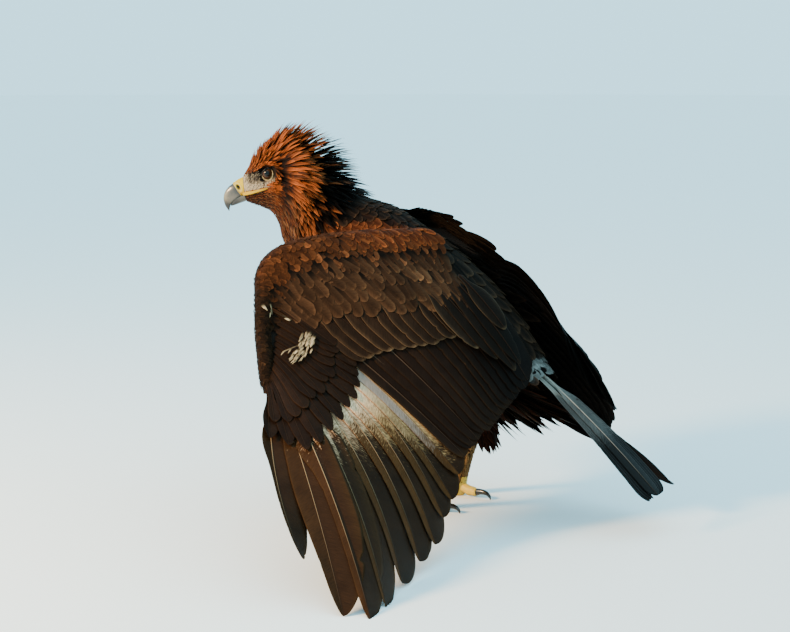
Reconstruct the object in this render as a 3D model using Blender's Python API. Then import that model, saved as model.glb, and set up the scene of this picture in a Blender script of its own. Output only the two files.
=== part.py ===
# A golden eagle standing with its left wing let down, at life size.
#
# The bird faces -Y with its own left at +X. It is built in millimetres above the floor, under the
# middle of the body, and moved at the end so that the bottom centre of its box is the origin.
import math
import random

import bmesh
import bpy
import numpy as np

GAP = 0.3
BARB = 0.7
STACK = 1.8
CAMBER = 0.5
ROOT_SHARE = 0.38
ROOT_EASE = 0.16
HACKLE_THICK = 2.8
HACKLE_ROOT = 7.0
HACKLE_BEND = 0.28
BODY_RING = 20
LEG_RING = 14
BILL_ARCH = 10
SMALLEST_EDGE = 4e-6
SMOOTH_BELOW = math.radians(40)
LID_PARTS = 14
LID_RADIUS = 9.4
EYE_OUT = 19.5
EYE_RADIUS = 10.5
CLAW_CURVE = 105.0
TOE_TURNS = {"inner": 38, "middle": 4, "outer": -40, "hind": 172}
TALON_LENGTHS = {"inner": 36, "middle": 32, "outer": 28, "hind": 46}
TOE_LENGTHS = {"inner": 42, "middle": 62, "outer": 46, "hind": 34}
HEAD_PITCH = math.radians(12)
HEAD_YAW = math.radians(30)
HEAD_PLACE = np.array([45.0, -278.0, 524.0])

for old in list(bpy.data.objects):
    bpy.data.objects.remove(old, do_unlink=True)
eagle = bpy.data.collections.new("golden_eagle")
cutters = bpy.data.collections.new("cutters")
bpy.context.scene.collection.children.link(eagle)
bpy.context.scene.collection.children.link(cutters)


def make_material(name, colour, roughness):
    material = bpy.data.materials.new(name)
    material.use_nodes = True
    shader = material.node_tree.nodes["Principled BSDF"]
    shader.inputs["Base Color"].default_value = (*colour, 1)
    shader.inputs["Roughness"].default_value = roughness
    return material


plumage = make_material("brown_plumage", (0.055, 0.028, 0.014), 0.75)
hackle = make_material("rufous_hackle", (0.26, 0.085, 0.025), 0.7)
quill = make_material("flight_feather", (0.032, 0.018, 0.011), 0.6)
tail_vane = make_material("tail_feather", (0.30, 0.31, 0.32), 0.65)
horn = make_material("bill_horn", (0.09, 0.09, 0.09), 0.3)
cere_skin = make_material("yellow_cere", (0.75, 0.52, 0.05), 0.45)
eye_cornea = make_material("eye_surface", (0.12, 0.055, 0.02), 0.05)
claw_horn = make_material("claw_horn", (0.012, 0.012, 0.013), 0.3)


def keyed(keys, points, at):
    """Points at these places of the smooth curve that passes each listed point at its key."""
    keys = np.asarray(keys, float)
    points = np.asarray(points, float)
    at = np.asarray(at, float)
    place = np.interp(at, keys, np.arange(len(keys)))
    place = place + np.minimum(at - keys[0], 0) / (keys[1] - keys[0])
    place = place + np.maximum(at - keys[-1], 0) / (keys[-1] - keys[-2])
    first = np.clip(np.floor(place).astype(int), 0, len(keys) - 2)
    part = (place - first)[..., None]
    ends = np.vstack([2 * points[0] - points[1], points, 2 * points[-1] - points[-2]])
    a, b, c, d = (ends[first + step] for step in range(4))
    bend = 2 * a - 5 * b + 4 * c - d
    twist = 3 * b - 3 * c + d - a
    return 0.5 * (2 * b + (c - a) * part + bend * part**2 + twist * part**3)


def unit(vectors):
    return vectors / np.maximum(np.linalg.norm(vectors, axis=-1, keepdims=True), 1e-9)


def mesh_object(name, points, faces, collection=cutters, material=None):
    """A closed mesh object from points in millimetres, none below the floor, facing outwards."""
    points = np.array(points, float)
    points[:, 2] = np.maximum(points[:, 2], 0)
    mesh = bpy.data.meshes.new(name)
    mesh.from_pydata((points / 1000).tolist(), [], [list(map(int, f)) for f in faces])
    obj = bpy.data.objects.new(name, mesh)
    collection.objects.link(obj)
    shape = bmesh.new()
    shape.from_mesh(mesh)
    bmesh.ops.triangulate(shape, faces=shape.faces)
    bmesh.ops.recalc_face_normals(shape, faces=shape.faces)
    if shape.calc_volume(signed=True) < 0:
        bmesh.ops.reverse_faces(shape, faces=shape.faces)
    shape.to_mesh(mesh)
    shape.free()
    if material:
        mesh.materials.append(material)
    if collection is cutters:
        obj.hide_render = True
        obj.display_type = "WIRE"
    return obj


def loft(name, rings, collection=cutters, material=None, tip=None):
    """A closed solid through rings of the same number of points, each end closed by a fan."""
    rings = [np.asarray(ring, float) for ring in rings]
    count = len(rings[0])
    far = rings[-1].mean(axis=0) if tip is None else tip
    points = np.vstack(rings + [rings[0].mean(axis=0), far])
    faces = []
    for level in range(len(rings) - 1):
        for i in range(count):
            j = (i + 1) % count
            a, b = level * count + i, level * count + j
            faces += [(a, b, b + count), (a, b + count, a + count)]
    last = (len(rings) - 1) * count
    for i in range(count):
        j = (i + 1) % count
        faces += [(j, i, len(points) - 2), (last + i, last + j, len(points) - 1)]
    return mesh_object(name, points, faces, collection, material)


def slab(name, middle, upper, lower, normals):
    """A closed solid about a grid of points, so thick above and so thick below it."""
    upper = np.broadcast_to(upper, middle.shape[:2])[..., None]
    lower = np.broadcast_to(lower, middle.shape[:2])[..., None]
    rows, columns = middle.shape[:2]
    top = (middle + normals * upper).reshape(-1, 3)
    bottom = (middle - normals * lower).reshape(-1, 3)
    under = len(top)
    faces = []
    for i in range(rows - 1):
        for j in range(columns - 1):
            a = i * columns + j
            b, c, d = a + 1, a + columns + 1, a + columns
            faces += [(a, b, c), (a, c, d)]
            faces += [(a + under, c + under, b + under), (a + under, d + under, c + under)]
    rim = [j for j in range(columns)]
    rim += [i * columns + columns - 1 for i in range(1, rows)]
    rim += [(rows - 1) * columns + j for j in range(columns - 2, -1, -1)]
    rim += [i * columns for i in range(rows - 2, 0, -1)]
    for a, b in zip(rim, rim[1:] + rim[:1]):
        faces += [(b, a, a + under), (b, a + under, b + under)]
    return mesh_object(name, np.vstack([top, bottom]), faces)


def grid_normals(middle):
    """The unit normal of a grid of points at each one."""
    along = np.gradient(middle, axis=0)
    across = np.gradient(middle, axis=1)
    return unit(np.cross(along, across))


def ball(name, centre, radii, segments=16, rings=10, axes=None, collection=cutters, material=None):
    """An ellipsoid from a sphere primitive, turned to the three unit axes."""
    bpy.ops.mesh.primitive_uv_sphere_add(segments=segments, ring_count=rings, radius=1)
    obj = bpy.context.object
    obj.name = name
    for owner in list(obj.users_collection):
        owner.objects.unlink(obj)
    collection.objects.link(obj)
    points = np.empty(len(obj.data.vertices) * 3)
    obj.data.vertices.foreach_get("co", points)
    points = points.reshape(-1, 3) * np.asarray(radii, float)
    turned = points @ (np.eye(3) if axes is None else np.asarray(axes, float))
    points = (turned + np.asarray(centre, float)) / 1000
    obj.data.vertices.foreach_set("co", points.ravel())
    shape = bmesh.new()
    shape.from_mesh(obj.data)
    bmesh.ops.recalc_face_normals(shape, faces=shape.faces)
    shape.to_mesh(obj.data)
    shape.free()
    if material:
        obj.data.materials.append(material)
    if collection is cutters:
        obj.hide_render = True
        obj.display_type = "WIRE"
    return obj


def evaluated_mesh(obj):
    graph = bpy.context.evaluated_depsgraph_get()
    return bpy.data.meshes.new_from_object(obj.evaluated_get(graph))


def keep_largest(obj):
    """Leaves only the closed surface of the greatest volume."""
    shape = bmesh.new()
    shape.from_mesh(obj.data)
    bmesh.ops.triangulate(shape, faces=shape.faces)
    islands = []
    seen = set()
    for face in shape.faces:
        if face in seen:
            continue
        island, waiting = [], [face]
        seen.add(face)
        while waiting:
            here = waiting.pop()
            island.append(here)
            for edge in here.edges:
                for other in edge.link_faces:
                    if other not in seen:
                        seen.add(other)
                        waiting.append(other)
        islands.append(island)

    def volume(island):
        corners = [[v.co for v in face.verts] for face in island]
        return sum(a.cross(b).dot(c) for a, b, c in corners) / 6

    islands.sort(key=volume, reverse=True)
    for island in islands[1:]:
        bmesh.ops.delete(shape, geom=island, context="FACES")
    loose = [vert for vert in shape.verts if not vert.link_faces]
    bmesh.ops.delete(shape, geom=loose, context="VERTS")
    bmesh.ops.dissolve_degenerate(shape, dist=SMALLEST_EDGE, edges=shape.edges)
    bmesh.ops.triangulate(shape, faces=shape.faces)
    shape.to_mesh(obj.data)
    shape.free()


def finish(obj, name, material):
    """Makes this object the node of that name."""
    obj.name = name
    obj.data.name = name
    for owner in list(obj.users_collection):
        owner.objects.unlink(obj)
    eagle.objects.link(obj)
    obj.hide_render = False
    obj.display_type = "TEXTURED"
    obj.data.materials.clear()
    obj.data.materials.append(material)
    return obj


def apply_boolean(obj, operation, others, solver):
    """Joins the others to this object, or cuts them from it, in one step."""
    group = bpy.data.collections.new("pieces")
    bpy.context.scene.collection.children.link(group)
    for other in others:
        group.objects.link(other)
    modifier = obj.modifiers.new(operation.lower(), "BOOLEAN")
    modifier.operation = operation
    modifier.operand_type = "COLLECTION"
    modifier.collection = group
    modifier.solver = solver
    bpy.context.view_layer.update()
    mesh = evaluated_mesh(obj)
    obj.modifiers.clear()
    obj.data = mesh
    bpy.data.collections.remove(group)


def fuse(pieces, name, material, cuts=(), solver="EXACT"):
    """One node from these closed pieces, less the cutters, with only its largest surface kept."""
    body = pieces[0]
    if len(pieces) > 1:
        apply_boolean(body, "UNION", pieces[1:], solver)
        for piece in pieces[1:]:
            bpy.data.objects.remove(piece, do_unlink=True)
    if cuts:
        apply_boolean(body, "DIFFERENCE", list(cuts), solver)
    keep_largest(body)
    return finish(body, name, material)


def oval(centre, up, side, count):
    """A ring about a centre, with half its height as one vector and half its width as another."""
    turn = np.linspace(0, 2 * math.pi, count, endpoint=False)[:, None]
    return centre + np.cos(turn) * up + np.sin(turn) * side


# The head's own directions: forward along the bill, up, and to the bird's left.
level = np.array([math.sin(HEAD_YAW), -math.cos(HEAD_YAW), 0])
head_left = np.array([math.cos(HEAD_YAW), math.sin(HEAD_YAW), 0])
head_forward = level * math.cos(HEAD_PITCH) - np.array([0, 0, math.sin(HEAD_PITCH)])
head_up = level * math.sin(HEAD_PITCH) + np.array([0, 0, math.cos(HEAD_PITCH)])


def in_head(forward, up, left=0.0):
    """The bird's point at these distances from between the eyes."""
    forward = np.asarray(forward, float)[..., None]
    up = np.asarray(up, float)[..., None]
    left = np.asarray(left, float)[..., None]
    return HEAD_PLACE + forward * head_forward + up * head_up + left * head_left


# Profile of the head and neck as pairs of upper and lower points in the head's directions, with
# half the width there, from the root of the bill back and down to the shoulders.
profile = [
    ((42, 3), (45, -37), 12.5),
    ((33, 13), (34, -44), 18.5),
    ((20, 26), (20, -52.5), 25.5),
    ((4, 35), (10, -60), 30.5),
    ((-12, 40), (4, -70), 35),
    ((-30, 40), (0, -84), 38),
    ((-50, 32), (-1, -100), 41),
    ((-68, 15), (-3, -118), 45),
    ((-84, -10), (-7, -138), 51),
    ((-98, -40), (-12, -160), 58),
    ((-110, -64), (-20, -184), 67),
]


def profile_ring(top, bottom, width):
    top, bottom = in_head(*top), in_head(*bottom)
    return oval((top + bottom) / 2, (top - bottom) / 2, head_left * width, BODY_RING)


# The torso as pairs of upper and lower points (Y, Z) in its middle plane, with half its width.
torso_profile = [
    ((-116, 484), (-205, 318), 74),
    ((-64, 469), (-165, 285), 84),
    ((-8, 436), (-110, 255), 90),
    ((52, 398), (-40, 232), 88),
    ((105, 352), (35, 215), 78),
    ((148, 308), (95, 200), 64),
    ((176, 272), (148, 197), 50),
    ((196, 244), (184, 202), 36),
]


def torso_ring(top, bottom, width, grown):
    top = np.array([2.0, *top])
    bottom = np.array([2.0, *bottom])
    up = (top - bottom) / 2
    size = np.linalg.norm(up)
    out = np.array([width + grown, 0, 0])
    return oval((top + bottom) / 2, up * (size + grown) / size, out, BODY_RING)


def torso_rings(grown):
    """The torso's rings, the first of them square to the neck, and pushed out at both ends."""
    rings = [torso_ring(*entry, grown) for entry in torso_profile]
    tail_end = rings[-1] + np.array([0, 6 + grown, -4])
    rings.append(tail_end.mean(axis=0) + (tail_end - tail_end.mean(axis=0)) * 0.8)
    return rings


neck_end = profile_ring(*profile[-1])
neck_rings = [profile_ring(*entry) for entry in profile]
neck_way = unit(torso_rings(0)[0].mean(axis=0) - neck_end.mean(axis=0))
torso_front = neck_end + neck_way * GAP
loft("torso", [torso_front] + torso_rings(0), eagle, plumage)
neck_middle = neck_end.mean(axis=0)
cutter_front = neck_middle + (neck_end - neck_middle) * 1.006 + neck_way * GAP / 2
torso_cutter = loft("torso_cutter", [cutter_front] + torso_rings(GAP))
neck_cutter = loft(
    "neck_cutter",
    [r.mean(axis=0) + (r - r.mean(axis=0)) * 1.008 for r in neck_rings[5:]]
    + [neck_end + unit(torso_front - neck_end) * 2 * GAP],
)

# The head and neck are one form, with the orbits hollowed for the eyes, a brow over each and a
# fleshy line from the corner of the mouth to below the eye.
head = loft("head_form", neck_rings)
head_pieces = [head]
orbits = []
for side in (1, -1):
    brow = [((27, 6, 21), 2.5), ((16, 11, 27), 4.0), ((2, 13, 31.5), 4.5), ((-12, 11, 34), 2.5)]
    rings = []
    for (forward, up, left), thick in brow:
        centre = in_head(forward, up, left * side)
        rings.append(oval(centre, head_up * thick, head_left * thick * 1.2, 8))
    head_pieces.append(loft("brow", rings))
    gape = [(40.5, -24.5, 12), (33, -25, 17), (23, -24.5, 23), (12, -24, 27.6), (1, -23, 29.5)]
    rings = []
    for (forward, up, left), thick in zip(gape, (2.6, 2.6, 2.4, 2.0, 1.0)):
        centre = in_head(forward, up, left * side)
        rings.append(oval(centre, head_up * thick, head_left * (thick + 1.5), 8))
    head_pieces.append(loft("gape", rings))
    lid_centre = in_head(0, 0, 25.0 * side)
    ring_points = []
    for turn in np.linspace(0, 2 * math.pi, LID_PARTS, endpoint=False):
        out = math.cos(turn) * head_forward + math.sin(turn) * head_up
        middle = lid_centre + out * LID_RADIUS + head_left * side * (0.8 - 0.9 * math.cos(turn))
        corner = [out * 1.5, head_left * 2.0, -out * 1.5, -head_left * 2.0]
        ring_points.append([middle + c for c in corner])
    points = np.array(ring_points).reshape(-1, 3)
    faces = []
    for i in range(LID_PARTS):
        j = (i + 1) % LID_PARTS
        for k in range(4):
            m = (k + 1) % 4
            faces.append((i * 4 + k, j * 4 + k, j * 4 + m, i * 4 + m))
    head_pieces.append(mesh_object("lid", points, faces))
    axes = [head_forward, head_up, head_left]
    orbits.append(ball("orbit", in_head(3, 0.5, 36.0 * side), (14, 10, 9.5), 14, 8, axes))
    name = "eye_left" if side > 0 else "eye_right"
    centre = in_head(0, 0, EYE_OUT * side)
    orbits.append(ball("socket", centre, [EYE_RADIUS + GAP] * 3, 12, 8, axes))
    ball(name, centre, [EYE_RADIUS] * 3, 12, 8, axes, eagle, eye_cornea)


# The bill: each section has a flat edge at the mouth and an arch over it, turned over below.
def bill_ring(ridge, edge, width):
    ridge, edge = in_head(*ridge), in_head(*edge)
    turn = np.linspace(0, math.pi, BILL_ARCH)
    arch = np.sin(turn)[:, None] ** 0.85 * (ridge - edge)
    return edge + arch + np.cos(turn)[:, None] * head_left * width


cere_rings = [
    bill_ring((42.5, 3), (45.5, -24.6), 11.6),
    bill_ring((50, 0.6), (47.5, -25.0), 10.8),
    bill_ring((59.4, -3.6), (49.5, -25.6), 9.4),
]
upper_rings = [
    bill_ring((60, -4), (50, -25.8), 9.3),
    bill_ring((67, -7.5), (54, -27.0), 8.6),
    bill_ring((73.5, -12.5), (59, -29.2), 7.6),
    bill_ring((78.3, -19), (64, -31.4), 6.4),
    bill_ring((80.6, -27), (68.5, -34.4), 4.9),
    bill_ring((80.2, -36), (72.2, -38.8), 3.1),
    bill_ring((77.6, -43.5), (74.6, -43.6), 1.4),
]
tip = in_head(75.8, -47.0)
upper_rings.append(tip + (upper_rings[-1] - upper_rings[-1].mean(axis=0)) * 0.2)
lower_rings = [
    bill_ring((44.8, -36.4), (45.6, -26.2), 9.6),
    bill_ring((52, -37.4), (52.5, -27.8), 7.8),
    bill_ring((58, -38.0), (58.2, -30.0), 6.4),
    bill_ring((63.5, -38.4), (63.0, -32.4), 4.6),
    bill_ring((67, -38.4), (66.6, -35.2), 2.2),
]
nostrils = []
for side in (1, -1):
    axes = [unit(head_forward - 0.5 * head_up), unit(head_up + 0.5 * head_forward), head_left]
    nostrils.append(ball("nostril", in_head(53.5, -11, 10.5 * side), (2.0, 3.4, 3.4), 10, 6, axes))
face_cutter = loft("face_cutter", [ring + head_forward * GAP for ring in neck_rings[2::-1]])
fuse([loft("cere_form", cere_rings)], "cere", cere_skin, nostrils + [face_cutter])
fuse([loft("upper_form", upper_rings)], "beak_upper", horn)
fuse([loft("lower_form", lower_rings)], "beak_lower", horn, [face_cutter])


# A raised hackle is a flat blade that bends as it tapers, rooted under the skin.
def hackle_lock(root, direction, curl, side, length, width):
    direction, curl = unit(direction), unit(curl)
    start = root - direction * HACKLE_ROOT
    reach = length + HACKLE_ROOT
    rings = []
    for part, wide in ((0.0, 0.6), (0.4, 1.0), (0.78, 0.62)):
        centre = start + (direction * part + curl * HACKLE_BEND * part * part) * reach
        along = unit(direction + curl * 2 * HACKLE_BEND * part)
        across = unit(side - along * np.dot(side, along))
        half, deep = across * width / 2 * wide, np.cross(along, across) * HACKLE_THICK / 2 * wide
        rings.append([centre + half, centre + deep, centre - half, centre - deep])
    return loft("lock", rings, tip=start + (direction + curl * HACKLE_BEND) * reach)


chance = random.Random(7)
# Rows of hackles: place along the profile, how many, how far round each side, length, width, and
# how far the ones on top stand up from the coat behind them.
hackle_rows = [
    (2.4, 3, 0.6, 15, 9, 1.2),
    (3.3, 4, 0.75, 25, 10, 1.8),
    (4.2, 6, 0.9, 38, 11, 2.3),
    (5.0, 7, 1.0, 48, 12, 2.3),
    (5.9, 8, 1.1, 54, 13, 2.1),
    (6.8, 8, 1.2, 58, 14, 2.0),
    (7.7, 8, 1.3, 60, 15, 1.8),
    (8.6, 9, 1.35, 60, 16, 1.5),
    (9.4, 8, 1.35, 58, 18, 1.1),
]
stations = np.arange(len(profile))
tops = np.array([entry[0] for entry in profile], float)
bottoms = np.array([entry[1] for entry in profile], float)
widths = np.array([[entry[2]] for entry in profile], float)


def on_neck(place, turn):
    """A point of the head and neck at a place along the profile and a turn from the top."""
    top = in_head(*keyed(stations, tops, place))
    bottom = in_head(*keyed(stations, bottoms, place))
    width = float(keyed(stations, widths, place)[0])
    middle = (top + bottom) / 2
    return middle + math.cos(turn) * (top - bottom) / 2 + math.sin(turn) * head_left * width


locks = []
for place, count, spread, length, width, stand in hackle_rows:
    for i in range(count):
        turn = spread * (2 * (i + 0.5) / count - 1) + chance.uniform(-0.04, 0.04)
        at = place + chance.uniform(-0.12, 0.12)
        root = on_neck(at, turn)
        back = unit(on_neck(at + 0.3, turn) - on_neck(at - 0.3, turn))
        side = unit(on_neck(at, turn + 0.1) - on_neck(at, turn - 0.1))
        out = unit(np.cross(side, back))
        if np.dot(out, root - (on_neck(at, 0) + on_neck(at, math.pi)) / 2) < 0:
            out = -out
        raised = 0.35 + (stand - 0.35) * math.cos(turn) ** 2 + chance.uniform(-0.1, 0.1)
        direction = back + out * raised
        here = length * chance.uniform(0.88, 1.08)
        locks.append(hackle_lock(root, direction, back, side, here, width))
fuse(head_pieces + locks, "head", hackle, orbits + [torso_cutter], "MANIFOLD")


# A sheet is the surface on which a row of feathers lies. Its places are numbered by feather from
# the inner end of the row out, and by the fraction of each feather's length from root to tip.
# Halfway along, a feather stands off the straight line outwards by its rise and sideways by its bow.
class Sheet:
    def __init__(self, root_keys, roots, tip_keys, tips, rises, outward, bows, bow_way):
        self.root_keys, self.roots = root_keys, roots
        self.tip_keys, self.tips = tip_keys, tips
        self.rises, self.bows = rises, bows
        self.outward = unit(np.asarray(outward, float))
        self.bow_way = np.asarray(bow_way, float)

    def at(self, s, t):
        s, t = np.broadcast_arrays(np.asarray(s, float), np.asarray(t, float))
        root = keyed(self.root_keys, self.roots, s)
        end = keyed(self.tip_keys, self.tips, s)
        hump = 4 * t * (1 - t)
        rise, bow = np.interp(s, *self.rises) * hump, np.interp(s, *self.bows) * hump
        straight = root + (end - root) * t[..., None]
        return straight + rise[..., None] * self.outward + bow[..., None] * self.bow_way

    def normal(self, s, t):
        across = self.at(s + 0.05, t) - self.at(s - 0.05, t)
        along = self.at(s, t + 0.01) - self.at(s, t - 0.01)
        normal = unit(np.cross(along, across))
        facing = np.sign(np.sum(normal * self.outward, axis=-1, keepdims=True))
        return normal * facing

    def stride(self, s, t):
        """Millimetres from one feather's line to the next."""
        return np.linalg.norm(self.at(s + 0.5, t) - self.at(s - 0.5, t), axis=-1)


def vane(sheet, s, start, end, inner, outer, lift, free, shape, columns, tilt):
    """A feather's blade on the sheet. Each one climbs towards the outer edge by the stack's step
    for one feather, so that a row overlaps evenly and no blade meets the next."""
    rows = []
    for part, wide in shape:
        t = start + (end - start) * part
        stride = float(sheet.stride(s, t))
        narrow = ROOT_SHARE * stride
        ease = min(max((t - free) / ROOT_EASE, 0.0), 1.0)
        ease = ease * ease * (3 - 2 * ease)
        low = min(narrow, inner * wide) * (1 - ease) + inner * wide * ease
        high = min(narrow, outer * wide) * (1 - ease) + outer * wide * ease
        across = [-low, high] if columns == 2 else [-low, 0.0, high]
        places = s + np.array(across) / stride
        points = sheet.at(places, np.full(len(places), t))
        normals = sheet.normal(places, np.full(len(places), t))
        heights = lift + tilt * STACK * (places - s)
        if columns == 3:
            heights = heights + np.array([0, CAMBER * wide, 0])
        rows.append(points + normals * heights[:, None])
    middle = np.array(rows)
    normals = grid_normals(middle)
    if np.sum(normals * sheet.outward) < 0:
        normals = -normals
    return slab("vane", middle, BARB / 2, BARB / 2, normals)


def wedge(name, sheet, places, keys, fronts, ridges, lip, upper, lower):
    """The fleshy part of a wing: from its front edge over the arm to a lip on the feather roots."""

    def section(s):
        front, ridge = keyed(keys, fronts, s), keyed(keys, ridges, s)
        stops = [front, ridge, sheet.at(s, 0.0), sheet.at(s, lip / 2), sheet.at(s, lip)]
        return keyed([0, 0.4, 0.75, 0.88, 1.0], stops, [0.0, 0.12, 0.27, 0.42, 0.58, 0.75, 0.88, 1.0])

    middle, normals = [], []
    for s in places:
        here = section(s)
        across = section(s + 0.1) - section(s - 0.1)
        middle.append(here)
        normals.append(unit(np.cross(np.gradient(here, axis=0), across)))
    middle, normals = np.array(middle), np.array(normals)
    if np.sum(normals * sheet.outward) < 0:
        normals = -normals
    return slab(name, middle, np.array(upper), np.array(lower), normals)


# The left wing hangs open: three tertials and twelve secondaries from the arm, numbered 0 to 14,
# then ten primaries from the hand, 15 to 24, whose longest tips lie on the floor.
left_sheet = Sheet(
    [0, 5, 9, 12, 14.5, 18, 24],
    [
        (80, 71, 381), (145, 28, 374), (196, -30, 370), (230, -89, 364), (247, -124, 344),
        (276, -119, 299), (327, -86, 238),
    ],
    [0, 5, 10, 14, 15, 16, 17, 18, 19, 20, 21, 22, 23, 24],
    [
        (50, 200, 222), (100, 190, 184), (150, 176, 156), (186, 166, 131), (212, 168, 106),
        (246, 174, 78), (283, 182, 55), (330, 192, 34), (388, 202, 16), (462, 216, 5),
        (542, 236, 2), (600, 246, 1.2), (610, 212, 1.5), (599, 142, 68),
    ],
    ([0, 8, 14, 18, 24], [22, 22, 20, 14, 10]),
    (0.65, 0.45, 0.6),
    ([14, 15, 16, 17, 18, 19, 20, 21, 22, 23, 24], [0, 8, 22, 32, 36, 36, 32, 24, 12, 5, -20]),
    (-0.4, 0.69, 0.5),
)
left_front_keys = [0, 4, 8, 11, 13, 14.5, 18, 21, 24]
left_fronts = [
    (62, -100, 412), (114, -122, 425), (167, -168, 418), (208, -178, 402), (238, -174, 380),
    (258, -162, 352), (284, -141, 306), (314, -114, 262), (338, -94, 228),
]
left_ridges = [
    (66, 10, 436), (122, -45, 434), (176, -98, 426), (214, -135, 412), (240, -148, 388),
    (256, -146, 356), (286, -130, 308), (318, -104, 264), (336, -90, 231),
]

wing_upper = [2.5, 8, 12, 14, 13, 11, 8.5, 6]
wing_lower = [2.5, 7, 9, 10, 9, 8, 5, 3]


def feather_row(sheet, places, start, ends, inner, outer, shape, lift=0.0, free=0.2, columns=3, tilt=1.0):
    """One blade for each place along the row, with widths and ends that change evenly along it."""
    row = []
    low, high = places[0], places[-1]
    for s in places:
        part = (s - low) / (high - low)
        end = np.interp(part, np.linspace(0, 1, len(ends)), ends)
        in_width = np.interp(part, np.linspace(0, 1, len(inner)), inner)
        out_width = np.interp(part, np.linspace(0, 1, len(outer)), outer)
        row.append(vane(sheet, s, start, end, in_width, out_width, lift, free, shape, columns, tilt))
    return row


covert_shape = ((0, 0.4), (0.3, 0.7), (0.6, 1.0), (0.86, 0.85), (1.0, 0.3))
secondary_shape = ((0, 0.3), (0.14, 0.5), (0.36, 0.95), (0.62, 1.0), (0.86, 0.9), (0.96, 0.6), (1.0, 0.2))
primary_shape = ((0, 0.3), (0.12, 0.5), (0.32, 0.95), (0.55, 1.0), (0.72, 0.78), (0.9, 0.58), (1.0, 0.1))
left_arm = wedge(
    "left_arm_form", left_sheet, np.linspace(-0.6, 14.48, 11), left_front_keys, left_fronts,
    left_ridges, 0.2, wing_upper, wing_lower,
)
left_remiges = feather_row(
    left_sheet, np.arange(15), 0.03, [1.0], [34, 40, 40, 36], [18, 16, 14], secondary_shape
)
left_coverts = feather_row(
    left_sheet, np.arange(14) + 0.5, 0.03, [0.52, 0.5, 0.46], [30, 30, 26], [16, 14], covert_shape,
    4.2, columns=2,
)
left_hand = wedge(
    "left_hand_form", left_sheet, np.linspace(14.52, 24.5, 7), left_front_keys, left_fronts,
    left_ridges, 0.16, wing_upper, wing_lower,
)
left_primaries = feather_row(
    left_sheet, np.arange(15, 25), 0.03, [1.0], [28, 34, 30, 28, 22], [13, 10, 9], primary_shape,
    -1.6, 0.21,
)
left_hand_coverts = feather_row(
    left_sheet, np.arange(15, 24) + 0.4, 0.03, [0.42, 0.46, 0.54], [24, 24, 20], [13, 10],
    covert_shape, 3.9, columns=2,
)
left_alula = feather_row(
    left_sheet, np.array([22.6, 23.6, 24.6]), 0.0, [0.34, 0.4], [15], [9], covert_shape, 8.2, 0.1, 2
)


def thigh_rings(side, grown=0.0):
    rings = []
    for centre, deep, wide in (
        ((52, -6, 300), 44, 34), ((60, -10, 262), 52, 40), ((64, 2, 214), 48, 38),
        ((64, 24, 168), 36, 29), ((63, 44, 134), 24, 20), ((62, 52, 120), 18, 16),
    ):
        up = np.array([0, deep + grown, (deep + grown) * 0.25])
        middle = np.array(centre) * np.array([side, 1, 1])
        rings.append(oval(middle, up, np.array([wide + grown, 0, 0]), LEG_RING))
    return rings


arm_cutter = wedge(
    "arm_cutter", left_sheet, np.linspace(-0.6, 14.49, 11), left_front_keys, left_fronts,
    left_ridges, 0.203, np.array(wing_upper) + GAP, np.array(wing_lower) + GAP,
)
thigh_cutters = [loft("thigh_cutter", thigh_rings(side, GAP)) for side in (1, -1)]
wing_cuts = [torso_cutter, neck_cutter] + thigh_cutters
fuse([left_arm] + left_remiges + left_coverts, "wing_left_arm", quill, wing_cuts, "MANIFOLD")
hand_pieces = [left_hand] + left_primaries + left_hand_coverts + left_alula
fuse(hand_pieces, "wing_left_hand", quill, thigh_cutters + [arm_cutter], "MANIFOLD")

# The right wing is folded along the body: its secondaries, numbered 0 to 12, lie over its
# primaries, numbered 0 to 9, which point back beside the tail.
right_sheet = Sheet(
    [0, 4, 9, 12],
    [(-60, 34, 420), (-86, -20, 394), (-112, -84, 360), (-124, -120, 330)],
    [0, 2, 4, 6, 9, 12],
    [(-62, 262, 214), (-70, 290, 177), (-76, 298, 148), (-86, 288, 134), (-102, 252, 130), (-116, 202, 138)],
    ([0, 4, 12], [44, 36, 14]),
    (-0.3, 0.3, 0.9),
    ([0, 12], [0, 0]),
    (0, 0, 1),
)
right_front_keys = [0, 3, 6, 9, 12]
right_fronts = [(-40, -86, 458), (-76, -118, 434), (-104, -142, 400), (-122, -154, 362), (-130, -150, 328)]
right_ridges = [(-54, -34, 452), (-90, -76, 424), (-116, -112, 390), (-128, -138, 356), (-131, -142, 327)]
right_arm = wedge(
    "right_arm_form", right_sheet, np.linspace(-0.6, 12.4, 9), right_front_keys, right_fronts,
    right_ridges, 0.2, wing_upper, wing_lower,
)
right_hand_sheet = Sheet(
    [0, 4.5, 9],
    [(-110, -98, 292), (-108, -52, 270), (-104, -8, 246)],
    [0, 3, 6, 7.5, 9],
    [(-108, 190, 140), (-100, 276, 106), (-84, 366, 66), (-78, 396, 54), (-84, 352, 66)],
    ([0, 9], [10, 6]),
    (-0.85, 0.1, 0.5),
    ([0, 9], [0, 0]),
    (0, 0, 1),
)
right_hand_fronts = [(-112, -128, 288), (-110, -90, 256), (-104, -40, 228)]
right_hand_ridges = [(-116, -120, 290), (-113, -78, 262), (-106, -28, 236)]
right_hand = wedge(
    "right_hand_form", right_hand_sheet, np.linspace(-0.4, 9.4, 6), [0, 4.5, 9], right_hand_fronts,
    right_hand_ridges, 0.12, [2, 5, 7, 8, 7, 6, 5, 4], [2, 4, 5, 6, 5, 4, 3, 3],
)
right_remiges = feather_row(
    right_sheet, np.arange(13), 0.03, [1.0], [26, 34, 34, 28], [18, 14], secondary_shape, columns=2
)
right_coverts = feather_row(
    right_sheet, np.arange(12) + 0.5, 0.03, [0.5, 0.46], [26, 26], [15, 13], covert_shape, 4.2,
    columns=2,
)
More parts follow.
